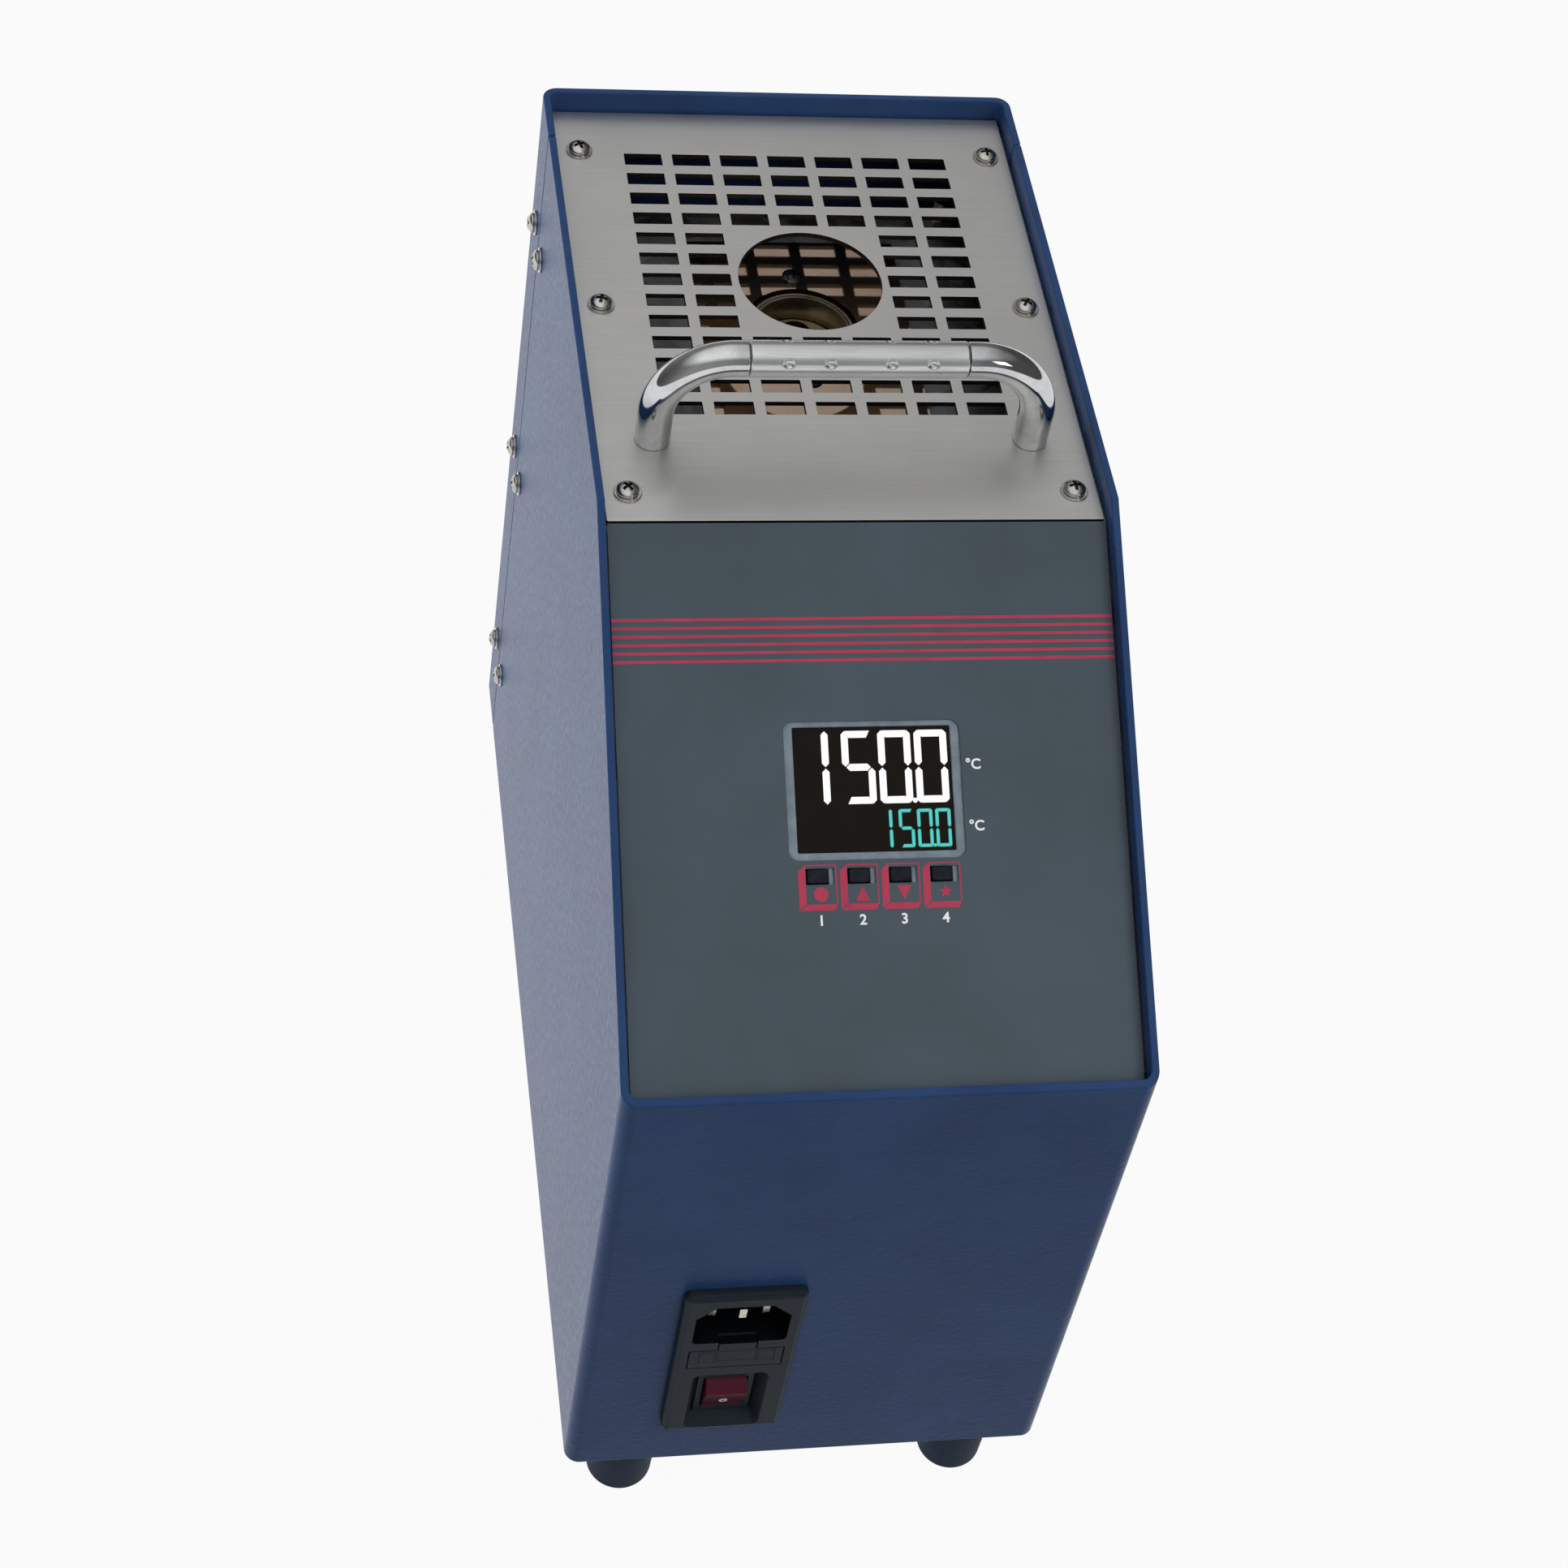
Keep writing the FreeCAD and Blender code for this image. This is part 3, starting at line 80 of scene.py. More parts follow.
# A face looks along an axis where that axis has at least this share in its normal
FACING = 0.5
# A noise texture lies between these values nearly everywhere
NOISE_LOW = 0.3
NOISE_HIGH = 0.7
# Radians that the rings of a wave texture turn through in a unit of length
WAVE_RATE = 20
# Sockets of a Mix node that mixes colours
MIX_SHARE = 0
MIX_FIRST = 6
MIX_SECOND = 7
MIX_RESULT = 2
WHITE = "#ffffff"
BLACK = "#000000"
CASE = "case"
X_AXIS = Vector((1, 0, 0))
WELL_LOW, WELL_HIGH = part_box("well_tube")
WELL_Y = (WELL_LOW.y + WELL_HIGH.y) / 2 / MM
LOG = logging.getLogger("calibrator")


# Helpers for colours, nodes and meshes

def linear(colour: str) -> tuple[float, float, float, float]:
    """Turns an sRGB hex colour into linear RGBA.

    Args:
        colour: six hex digits after a hash sign.

    Returns:
        The colour as Blender's shaders take it.
    """
    shares = [value / 255 for value in bytes.fromhex(colour[1:])]
    return (*Color(shares).from_srgb_to_scene_linear(), 1.0)


def per_mm(size: float) -> float:
    """Texture scale whose features are about this many millimetres across."""
    return 1 / (size * MM)


def add_node(tree: bpy.types.NodeTree, kind: str, inputs: dict[Any, Any] | None = None,
             **settings: Any) -> bpy.types.Node:
    """Adds a node, sets its properties, and fills or links its inputs.

    Args:
        tree: the material's or world's node tree.
        kind: Blender's type name of the node.
        inputs: a value or an output socket for each input, by name or number.
        settings: the node's own properties.

    Returns:
        The new node.
    """
    node = tree.nodes.new(kind)
    for key, value in settings.items():
        setattr(node, key, value)
    for key, value in (inputs or {}).items():
        if isinstance(value, bpy.types.NodeSocket):
            tree.links.new(value, node.inputs[key])
        else:
            node.inputs[key].default_value = value
    return node


# Finishes

class Streak(Enum):
    """Direction in which the lines of a brushed or drawn metal run."""

    ALONG_X = (1, 0, 0)
    ALONG_Z = (0, 0, 1)


@dataclass(frozen=True)
class Finish:
    """Base of every finish: one shader, with a pattern that each kind adds.

    Attributes:
        name: the material's name, for what it is and how its surface was made.
        slot: the record's material slot.
        colour: sRGB hex colour of the clean surface.
        shade: sRGB hex colour of its darker patches.
        roughness: middle of the roughness that the pattern varies.
        metallic: 1 for bare metal.
        specular: strength of the reflection of a non-metal.
    """

    name: str
    slot: str
    colour: str
    shade: str
    roughness: float
    metallic: float = 0.0
    specular: float = 0.5

    def material(self) -> bpy.types.Material:
        """Makes the material the first time, and gives the same one afterwards.

        Returns:
            The material.
        """
        found = bpy.data.materials.get(self.name)
        if found:
            return found
        made = bpy.data.materials.new(self.name)
        made.use_nodes = True
        tree = made.node_tree
        shader = tree.nodes["Principled BSDF"]
        shader.inputs["Base Color"].default_value = linear(self.colour)
        shader.inputs["Roughness"].default_value = self.roughness
        shader.inputs["Metallic"].default_value = self.metallic
        shader.inputs["Specular IOR Level"].default_value = self.specular
        place = add_node(tree, "ShaderNodeTexCoord").outputs["Object"]
        self.pattern(tree, shader, place)
        return made

    def pattern(self, tree: bpy.types.NodeTree, shader: bpy.types.Node,
                place: bpy.types.NodeSocket) -> None:
        """Adds the nodes that vary the surface; each kind of finish has its own."""
        raise NotImplementedError

    def mixed_colour(self, tree: bpy.types.NodeTree, share: bpy.types.NodeSocket) -> bpy.types.NodeSocket:
        """Mixes the clean colour and the shade.

        Args:
            tree: the material's tree.
            share: share of the shade.

        Returns:
            The mixed colour.
        """
        mixed = add_node(tree, "ShaderNodeMix", {MIX_SHARE: share, MIX_FIRST: linear(self.colour),
                                                 MIX_SECOND: linear(self.shade)}, data_type="RGBA")
        return mixed.outputs[MIX_RESULT]

    def tint(self, tree: bpy.types.NodeTree, shader: bpy.types.Node, share: bpy.types.NodeSocket,
             low: float, high: float) -> None:
        """Varies the colour with a pattern.

        Args:
            tree: the material's tree.
            shader: its Principled shader.
            share: pattern between 0 and 1.
            low: pattern value that is all clean colour.
            high: pattern value that is all shade.
        """
        spread = add_node(tree, "ShaderNodeMapRange", {"Value": share, "From Min": low, "From Max": high})
        tree.links.new(self.mixed_colour(tree, spread.outputs[0]), shader.inputs["Base Color"])

    def gloss(self, tree: bpy.types.NodeTree, shader: bpy.types.Node, share: bpy.types.NodeSocket,
              spread: float) -> None:
        """Varies the roughness with a pattern.

        Args:
            tree: the material's tree.
            shader: its Principled shader.
            share: pattern between 0 and 1.
            spread: how much the roughness varies to either side.
        """
        varied = add_node(tree, "ShaderNodeMapRange",
                          {"Value": share, "From Min": NOISE_LOW, "From Max": NOISE_HIGH,
                           "To Min": self.roughness - spread, "To Max": self.roughness + spread})
        tree.links.new(varied.outputs[0], shader.inputs["Roughness"])

    def relief(self, tree: bpy.types.NodeTree, shader: bpy.types.Node, height: bpy.types.NodeSocket,
               depth: float) -> None:
        """Raises the surface with a pattern, as deep as the given millimetres."""
        bump = add_node(tree, "ShaderNodeBump", {"Height": height, "Distance": depth * MM})
        tree.links.new(bump.outputs[0], shader.inputs["Normal"])


@dataclass(frozen=True)
class Grained(Finish):
    """Surface with an even grain: paint, moulded plastic, rubber, ceramic or printed film.

    Attributes:
        grain: size of the grain in millimetres.
        depth: height of the grain in millimetres.
        patch: size of the lighter and darker patches in millimetres.
        gloss_spread: how much the roughness varies.
        stretch: how much longer the grain is from side to side than upwards.
    """

    grain: float = 0.6
    depth: float = 0.01
    patch: float = 12.0
    gloss_spread: float = 0.06
    stretch: float = 1.0

    def pattern(self, tree: bpy.types.NodeTree, shader: bpy.types.Node,
                place: bpy.types.NodeSocket) -> None:
        """Adds grain to the relief and the gloss, and patches to the colour.

        Args:
            tree: the material's tree.
            shader: its Principled shader.
            place: Object coordinates.
        """
        fine = per_mm(self.grain)
        turned = add_node(tree, "ShaderNodeMapping", {"Vector": place,
                                                      "Scale": (fine / self.stretch, fine / self.stretch,
                                                                fine)})
        grain = add_node(tree, "ShaderNodeTexNoise", {"Vector": turned.outputs[0], "Scale": 1.0,
                                                      "Detail": 3.0, "Roughness": 0.55})
        patch = add_node(tree, "ShaderNodeTexNoise", {"Vector": place, "Scale": per_mm(self.patch),
                                                      "Detail": 5.0, "Roughness": 0.6})
        self.tint(tree, shader, patch.outputs[0], low=0.35, high=0.72)
        self.gloss(tree, shader, grain.outputs[0], self.gloss_spread)
        self.relief(tree, shader, grain.outputs[0], self.depth)


@dataclass(frozen=True)
class Brushed(Finish):
    """Metal with straight fine lines and a few cloudy smears.

    Attributes:
        streak: direction of the lines.
        line: width of a line in millimetres.
        reach: length of a line in millimetres.
        depth: depth of a line in millimetres.
        smear: size of the cloudy patches in millimetres.
        gloss_spread: how much the roughness varies from line to line.
    """

    streak: Streak = Streak.ALONG_X
    line: float = 0.5
    reach: float = 40.0
    depth: float = 0.004
    smear: float = 35.0
    gloss_spread: float = 0.08

    def pattern(self, tree: bpy.types.NodeTree, shader: bpy.types.Node,
                place: bpy.types.NodeSocket) -> None:
        """Adds lines to the gloss and the relief, and smears to the colour.

        Args:
            tree: the material's tree.
            shader: its Principled shader.
            place: Object coordinates.
        """
        along = [per_mm(self.reach if share else self.line) for share in self.streak.value]
        drawn = add_node(tree, "ShaderNodeMapping", {"Vector": place, "Scale": along})
        lines = add_node(tree, "ShaderNodeTexNoise", {"Vector": drawn.outputs[0], "Scale": 1.0,
                                                      "Detail": 4.0, "Roughness": 0.7})
        smears = add_node(tree, "ShaderNodeTexNoise", {"Vector": place, "Scale": per_mm(self.smear),
                                                       "Detail": 6.0, "Roughness": 0.55})
        both = add_node(tree, "ShaderNodeMix", {"Factor": 0.5, "A": lines.outputs[0], "B": smears.outputs[0]})
        self.tint(tree, shader, both.outputs[0], low=0.38, high=0.66)
        self.gloss(tree, shader, lines.outputs[0], self.gloss_spread)
        self.relief(tree, shader, lines.outputs[0], self.depth)


@dataclass(frozen=True)
class Turned(Finish):
    """Lathe-turned metal with rings about an upright axis, stained by heat.

    Attributes:
        axis_y: where the axis stands, in millimetres behind the origin.
        ring: distance from tool mark to tool mark in millimetres, coarser than real ones so that they show.
        ring_depth: depth of a tool mark in millimetres.
        stain: size of the heat stains in millimetres.
        gloss_spread: how much the roughness varies from mark to mark.
    """

    axis_y: float = 0.0
    ring: float = 3.14
    ring_depth: float = 0.01
    stain: float = 6.0
    gloss_spread: float = 0.08

    def pattern(self, tree: bpy.types.NodeTree, shader: bpy.types.Node,
                place: bpy.types.NodeSocket) -> None:
        """Adds rings to the gloss and the relief, and stains to the colour.

        Args:
            tree: the material's tree.
            shader: its Principled shader.
            place: Object coordinates.
        """
        centred = add_node(tree, "ShaderNodeMapping", {"Vector": place,
                                                       "Location": (0, -self.axis_y * MM, 0)})
        rings = add_node(tree, "ShaderNodeTexWave",
                         {"Vector": centred.outputs[0], "Scale": per_mm(self.ring) * math.tau / WAVE_RATE,
                          "Distortion": 0.6, "Detail": 2.0}, wave_type="RINGS", rings_direction="Z")
        stains = add_node(tree, "ShaderNodeTexNoise", {"Vector": place, "Scale": per_mm(self.stain),
                                                       "Detail": 5.0})
        self.tint(tree, shader, stains.outputs[0], low=0.35, high=0.65)
        self.gloss(tree, shader, rings.outputs["Fac"], self.gloss_spread)
        self.relief(tree, shader, rings.outputs["Fac"], self.ring_depth)


@dataclass(frozen=True)
class Spangled(Finish):
    """Zinc-coated sheet whose crystals reflect a little differently from each other.

    Attributes:
        crystal: size of a crystal in millimetres.
        gloss_spread: how much the roughness varies from crystal to crystal.
    """

    crystal: float = 5.0
    gloss_spread: float = 0.08

    def pattern(self, tree: bpy.types.NodeTree, shader: bpy.types.Node,
                place: bpy.types.NodeSocket) -> None:
        """Gives each crystal its own tint and gloss.

        Args:
            tree: the material's tree.
            shader: its Principled shader.
            place: Object coordinates.
        """
        crystals = add_node(tree, "ShaderNodeTexVoronoi", {"Vector": place, "Scale": per_mm(self.crystal)})
        level = add_node(tree, "ShaderNodeSeparateColor", {"Color": crystals.outputs["Color"]})
        self.tint(tree, shader, level.outputs[0], low=0.0, high=1.0)
        self.gloss(tree, shader, level.outputs[1], self.gloss_spread)


@dataclass(frozen=True)
class Polished(Finish):
    """Plated and polished metal with a slight waviness and a thin haze of handling.

    Attributes:
        wave: length of the waves in millimetres.
        wave_height: height of the waves in millimetres.
        haze: size of the hazy patches in millimetres.
    """

    wave: float = 9.0
    wave_height: float = 0.03
    haze: float = 7.0

    def pattern(self, tree: bpy.types.NodeTree, shader: bpy.types.Node,
                place: bpy.types.NodeSocket) -> None:
        """Adds haze to the gloss and the colour, and waves to the relief.

        Args:
            tree: the material's tree.
            shader: its Principled shader.
            place: Object coordinates.
        """
        haze = add_node(tree, "ShaderNodeTexNoise", {"Vector": place, "Scale": per_mm(self.haze),
                                                     "Detail": 6.0, "Roughness": 0.65})
        waves = add_node(tree, "ShaderNodeTexNoise", {"Vector": place, "Scale": per_mm(self.wave),
                                                      "Detail": 1.0})
        self.tint(tree, shader, haze.outputs[0], low=0.4, high=0.75)
        self.gloss(tree, shader, haze.outputs[0], self.roughness / 2)
        self.relief(tree, shader, waves.outputs[0], self.wave_height)


@dataclass(frozen=True)
class Lit(Finish):
    """Segment of a lit display: the light is a little uneven.

    Attributes:
        glow: strength of the light.
        patch: size of its uneven patches in millimetres.
    """

    glow: float = 1.0
    patch: float = 2.5

    def pattern(self, tree: bpy.types.NodeTree, shader: bpy.types.Node,
                place: bpy.types.NodeSocket) -> None:
        """Lights the surface with a faint unevenness along each segment.

        Args:
            tree: the material's tree.
            shader: its Principled shader.
            place: Object coordinates.
        """
        uneven = add_node(tree, "ShaderNodeTexNoise", {"Vector": place, "Scale": per_mm(self.patch)})
        tree.links.new(self.mixed_colour(tree, uneven.outputs[0]), shader.inputs["Emission Color"])
        shader.inputs["Emission Strength"].default_value = self.glow
        shader.inputs["Base Color"].default_value = linear(BLACK)


@dataclass(frozen=True)
class Clear(Finish):
    """Clear glass with faint streaks.

    Attributes:
        streak: size of the streaks in millimetres.
    """

    streak: float = 3.0

    def pattern(self, tree: bpy.types.NodeTree, shader: bpy.types.Node,
                place: bpy.types.NodeSocket) -> None:
        """Lets light through and varies the gloss a little.

        Args:
            tree: the material's tree.
            shader: its Principled shader.
            place: Object coordinates.
        """
        shader.inputs["Transmission Weight"].default_value = 1.0
        streaks = add_node(tree, "ShaderNodeTexNoise", {"Vector": place, "Scale": per_mm(self.streak)})
        self.gloss(tree, shader, streaks.outputs[0], self.roughness / 2)


# Powder coat sprayed on steel sheet: a leathery skin that scatters light and whitens at a grazing angle
PAINT = Grained("blue_leather_powder_coat", "blue_paint", "#2a436c", "#243a61", 0.3, specular=0.07,
                grain=1.5, depth=0.12, patch=30.0, gloss_spread=0.05, stretch=1.6)
# Cold-rolled stainless sheet, line-brushed from side to side: grey with soft lengthwise glints
STAINLESS = Brushed("brushed_stainless_sheet", "stainless", "#e4e3e0", "#d6d5d2", 0.44, 1.0, line=0.3,
                    reach=30.0, depth=0.006, gloss_spread=0.05)
# Walls of the slots: sheet torn by the punch and rough, darkened as painted shade
PUNCHED_SHADE = Brushed("punched_stainless_painted_shade", "stainless", "#5a5550", "#45403b", 0.5, 1.0,
                  streak=Streak.ALONG_Z, line=0.4, reach=2.0, depth=0.01)
# Zinc-plated sheet: dull grey crystals
ZINC = Spangled("zinc_plated_sheet", "zinc_sheet", "#9a9c9e", "#75787b", 0.42, 1.0)
# Nickel-plated steel screws: bright with a warm grey haze
NICKEL = Polished("nickel_plated_screw", "nickel_screw", "#c9c7c2", "#a8a59f", 0.12, 1.0, wave=2.0, haze=2.0)
# Recess of a screw: the same plating, dulled, and darkened as painted shade in the cross
RECESS_SHADE = Polished("screw_recess_painted_shade", "nickel_screw", "#4a4948", "#333231", 0.35, 1.0, wave=2.0, haze=1.0)
# Chromed steel tube, polished: sharp reflections, faintly wavy
CHROME = Polished("polished_chrome_tube", "handle_chrome", "#d4d5d6", "#b4b5b7", 0.07, 1.0)
# Satin chromed sleeve: fine blasted surface that blurs what it reflects
SATIN = Brushed("satin_chrome_sleeve", "grip_satin", "#dcdddd", "#c8c9ca", 0.3, 1.0, line=0.4, reach=12.0,
                depth=0.003)
# Moulded rubber feet: dark blue-grey and matt with mould grain
FOOT_RUBBER = Grained("moulded_foot_rubber", "foot_rubber", "#1d2a3e", "#172233", 0.62, specular=0.12,
                      grain=0.7, depth=0.02)
# Silicone keys: nearly black, soft sheen, specks of dust
KEY_RUBBER = Grained("silicone_key_rubber", "key_rubber", "#12141a", "#20232a", 0.5, specular=0.12,
                     grain=0.5, depth=0.02, patch=2.5)
# Aluminium plate behind the film: plain mill finish
PLATE = Brushed("mill_aluminium_plate", "panel_aluminium", "#a7a9ab", "#8b8d90", 0.4, 1.0)
# Screen-printed polyester film: slate grey with a fine matt texture
FILM = Grained("printed_polyester_film", "panel_film", "#46525b", "#3e4951", 0.5, specular=0.3,
               grain=0.7, depth=0.008, patch=45.0, gloss_spread=0.05)
# Crimson screen ink on the film: flat, a little uneven
CRIMSON_INK = Grained("crimson_screen_ink", "panel_film", "#b43c56", "#a4374f", 0.5, specular=0.2,
                      grain=0.6, depth=0.004, patch=6.0)
# White screen ink on the film: opaque, a little dusty
WHITE_INK = Grained("white_screen_ink", "panel_film", "#f0f1f1", "#dfe1e2", 0.5, specular=0.3,
                    grain=0.6, depth=0.004, patch=4.0)
# Moulded polycarbonate bezel: blue-grey, scuffed lighter in patches
BEZEL = Grained("moulded_bezel_plastic", "bezel_plastic", "#6a7681", "#7f8c97", 0.45, specular=0.3,
                grain=0.7, depth=0.015, patch=4.0)
# Smoked acrylic in front of the display: almost black and smooth
SCREEN = Grained("smoked_acrylic_window", "screen_glass", "#17120f", "#1a1512", 0.12, specular=0.06,
                 grain=2.0, depth=0.0005, patch=8.0, gloss_spread=0.03)
# Lit white segments: even, with no shading of their own
WHITE_LIGHT = Lit("white_display_segment", "screen_glass", "#ffffff", "#fbfcfc", 0.4)
# Lit teal segments: blue-green inside, greener at the rim
TEAL_LIGHT = Lit("teal_display_segment", "screen_glass", "#3cc8da", "#52d2de", 0.4)
TEAL_RIM = Lit("teal_display_rim", "screen_glass", "#3aa98a", "#4bbd92", 0.4)
# Controller housing: moulded plastic, black with a fine mould grain
HOUSING = Grained("moulded_black_housing", "controller_plastic", "#26282b", "#1e2022", 0.5, grain=0.8)
# Glass-fibre circuit board under solder mask: green with a soft gloss and the weave showing through
BOARD = Grained("green_circuit_board", "circuit_board", "#1d5a38", "#174a2e", 0.35, grain=1.2, patch=4.0)
# Moulded inlet: charcoal nylon with a fine spark grain
INLET = Grained("moulded_inlet_nylon", "inlet_plastic", "#20282f", "#1b232a", 0.45, specular=0.08,
                grain=0.6, depth=0.012, patch=9.0)
# Inside of the socket and top of the drawer's tab: the same nylon with the mould's polish, darkened near
# black as painted shade
NYLON_SHADE = Grained("nylon_painted_shade", "inlet_plastic", "#07090c", "#0a0d11", 0.4, specular=0.05,
                 grain=0.8, depth=0.004, patch=9.0)
# Tinned brass pins: pale metal, slightly dulled
PIN = Polished("tinned_brass_pin", "pin_metal", "#cfc9bb", "#a39c8d", 0.25, 1.0, wave=2.0, haze=1.5)
# Drawn glass tube of the fuse: clear, with faint streaks
FUSE_GLASS = Clear("fuse_glass_tube", "fuse_glass", "#f2f5f4", "#e4e9e8", 0.05)
# Translucent red polycarbonate rocker, unlit: dark wine red with a soft gloss
ROCKER = Grained("red_rocker_polycarbonate", "rocker_red", "#4e1a2a", "#481826", 0.28, specular=0.1,
                 grain=1.2, depth=0.001, patch=5.0, gloss_spread=0.02)
# Glass-filled nylon fan: matt black
FAN = Grained("moulded_fan_plastic", "fan_plastic", "#222427", "#1a1c1f", 0.55, grain=0.8, depth=0.015)
# Chromed wire of the finger guard: bright, slightly dulled
GUARD = Polished("chromed_guard_wire", "guard_wire", "#c8cacb", "#a0a2a4", 0.16, 1.0)
# Ceramic-fibre felt: chalky white, fluffy
FIBRE = Grained("ceramic_fibre_felt", "fibre_insulation", "#e6e2d8", "#cfc8b8", 0.95, specular=0.1,
                grain=1.6, depth=0.25, patch=8.0, stretch=4.0)
# Polished stainless sheet over the furnace, tinted straw to copper by heat: it mirrors the slots above it
SHIELD = Polished("heat_tinted_shield", "shield_steel", "#c6af9b", "#b8977a", 0.05, 1.0, wave=30.0, haze=16.0)
# Blackened steel screw: dark with a dull metal glint
BLACK_SCREW = Polished("blackened_steel_screw", "black_screw", "#4a4744", "#2c2a28", 0.35, 1.0, wave=2.0)
# Heat-resisting alloy tube: turned, oxidised brown-grey
WELL = Turned("turned_well_alloy", "well_alloy", "#b3ad9f", "#948a70", 0.42, 1.0, axis_y=WELL_Y)
# Aluminium-bronze insert: turned bright, tinted by heat
INSERT = Turned("turned_insert_alloy", "insert_alloy", "#b9ab90", "#a4967b", 0.3, 1.0, axis_y=WELL_Y,
                stain=18.0)
# Sintered ceramic heater rods: off-white
ROD = Grained("sintered_heater_ceramic", "heater_ceramic", "#d9d3c6", "#c2b9a8", 0.7, grain=1.0)
# Stainless sensor sheath: drawn smooth
SHEATH = Brushed("drawn_sensor_sheath", "sensor_sheath", "#a9a9a8", "#85858a", 0.3, 1.0,
                 streak=Streak.ALONG_Z)
# Moulded phenolic relay: black with a soft gloss
RELAY = Grained("moulded_relay_plastic", "relay_plastic", "#202225", "#17191b", 0.42, grain=0.8)
# Terminal block: milky polyamide
TERMINAL = Grained("moulded_terminal_polyamide", "terminal_plastic", "#d8d4c6", "#c9c4b4", 0.5, grain=0.9)
# Silicone lead insulation: brick red, soft
LEAD = Grained("silicone_lead_sleeve", "lead_insulation", "#8e3a2e", "#7a3127", 0.55, grain=0.5, depth=0.02)


# Making and dressing pieces

def add_piece(name: str, shape: bmesh.types.BMesh, finish: Finish, body: str,
              replaced: Iterable[str] = ()) -> bpy.types.Object:
    """Turns a finished shape into a piece of the object.

    Args:
        name: the piece's name.
        shape: its shape, which is freed.
        finish: what it is made of.
        body: the body that it moves with.
        replaced: CAD nodes that it stands for.

    Returns:
        The new object.
    """
    mesh = bpy.data.meshes.new(name)
    shape.to_mesh(mesh)
    shape.free()
    if "custom_normal" in mesh.attributes:
        mesh.attributes.remove(mesh.attributes["custom_normal"])
    mesh.polygons.foreach_set("use_smooth", [True] * len(mesh.polygons))
    mesh.set_sharp_from_angle(angle=CREASE)
    mesh.materials.clear()
    mesh.materials.append(finish.material())
    piece = bpy.data.objects.new(name, mesh)
    bpy.context.scene.collection.objects.link(piece)
    even = piece.modifiers.new("even_normals", "WEIGHTED_NORMAL")
    even.keep_sharp = True
    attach(piece, body)
    if replaced:
        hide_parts(*replaced)
    LOG.info("piece %s on %s: %d faces", name, body, len(mesh.polygons))
    return piece


def dress(finish: Finish, *nodes: str) -> None:
    """Gives CAD nodes whose shape is right a finish.

    Args:
        finish: what they are made of.
        nodes: their names.
    """
    for node in nodes:
        for holder in frame["nodes"][node].material_slots:
            holder.material = finish.material()
        LOG.info("node %s dressed in %s", node, finish.name)


def merged_copy(node: str) -> bmesh.types.BMesh:
    """Copies a CAD node's mesh and merges its loose triangles into whole faces.

    Args:
        node: the node's name.

    Returns:
        The copy.
    """
    shape = bmesh.new()
    shape.from_mesh(frame["nodes"][node].data)
    bmesh.ops.remove_doubles(shape, verts=shape.verts, dist=MERGE)
    bmesh.ops.dissolve_limit(shape, angle_limit=FLAT, verts=shape.verts, edges=shape.edges)
    return shape


def soften(shape: bmesh.types.BMesh, width: float, segments: int = 2,
           chosen: Callable[[Vector], bool] | None = None) -> None:
    """Rounds the sharp edges of a shape.

    Args:
        shape: closed shape.
        width: how far the rounding reaches from the edge, in millimetres.
        segments: facets of the rounding.
        chosen: says of an edge's middle whether that edge is rounded; without it every edge is.
    """
    sharp = []
    for edge in shape.edges:
        if len(edge.link_faces) == 2 and edge.calc_face_angle() > SOFT_EDGE:
            start, end = edge.verts
            if chosen is None or chosen((start.co + end.co) / 2):
                sharp.append(edge)
    bmesh.ops.bevel(shape, geom=sharp, offset=width * MM, offset_type="OFFSET", affect="EDGES",
                    segments=segments, profile=0.5, material=-1, clamp_overlap=False)


def soft_copy(node: str, body: str, finish: Finish, width: float, segments: int = 2) -> bpy.types.Object:
    """Makes a piece that stands for a CAD node, with softened edges.

    Args:
        node: the node's name.
        body: the body that the piece moves with.
        finish: what it is made of.
        width: reach of the rounding in millimetres.
        segments: facets of the rounding.

    Returns:
        The new object.
    """
    shape = merged_copy(node)
    soften(shape, width, segments)
    return add_piece("finished_" + node, shape, finish, body, [node])


def lifted(shape: bmesh.types.BMesh, outline: list[tuple[float, float]], low: float, high: float) -> None:
    """Adds a flat prism to a shape.

    Args:
        shape: shape that takes the prism.
        outline: corners in the XY plane, in millimetres, anticlockwise.
        low: height of its underside in millimetres.
        high: height of its top in millimetres.
    """
    corners = [shape.verts.new((x * MM, y * MM, low * MM)) for x, y in outline]
    floor = shape.faces.new(corners)
    grown = bmesh.ops.extrude_face_region(shape, geom=[floor], use_keep_orig=True)
    raised = [item for item in grown["geom"] if isinstance(item, bmesh.types.BMVert)]
    bmesh.ops.translate(shape, verts=raised, vec=(0, 0, (high - low) * MM))
    floor.normal_flip()


def ring_points(count: int, radius: float, start: float = 0.0) -> list[tuple[float, float]]:
    """Corners of a regular shape about the origin, anticlockwise from a start angle in degrees."""
    turns = [math.radians(start + 360 * index / count) for index in range(count)]
    return [(radius * math.cos(turn), radius * math.sin(turn)) for turn in turns]


def moved(points: list[tuple[float, float]], x: float, y: float) -> list[tuple[float, float]]:
    """The points shifted by x and y."""
    return [(x + across, y + along) for across, along in points]


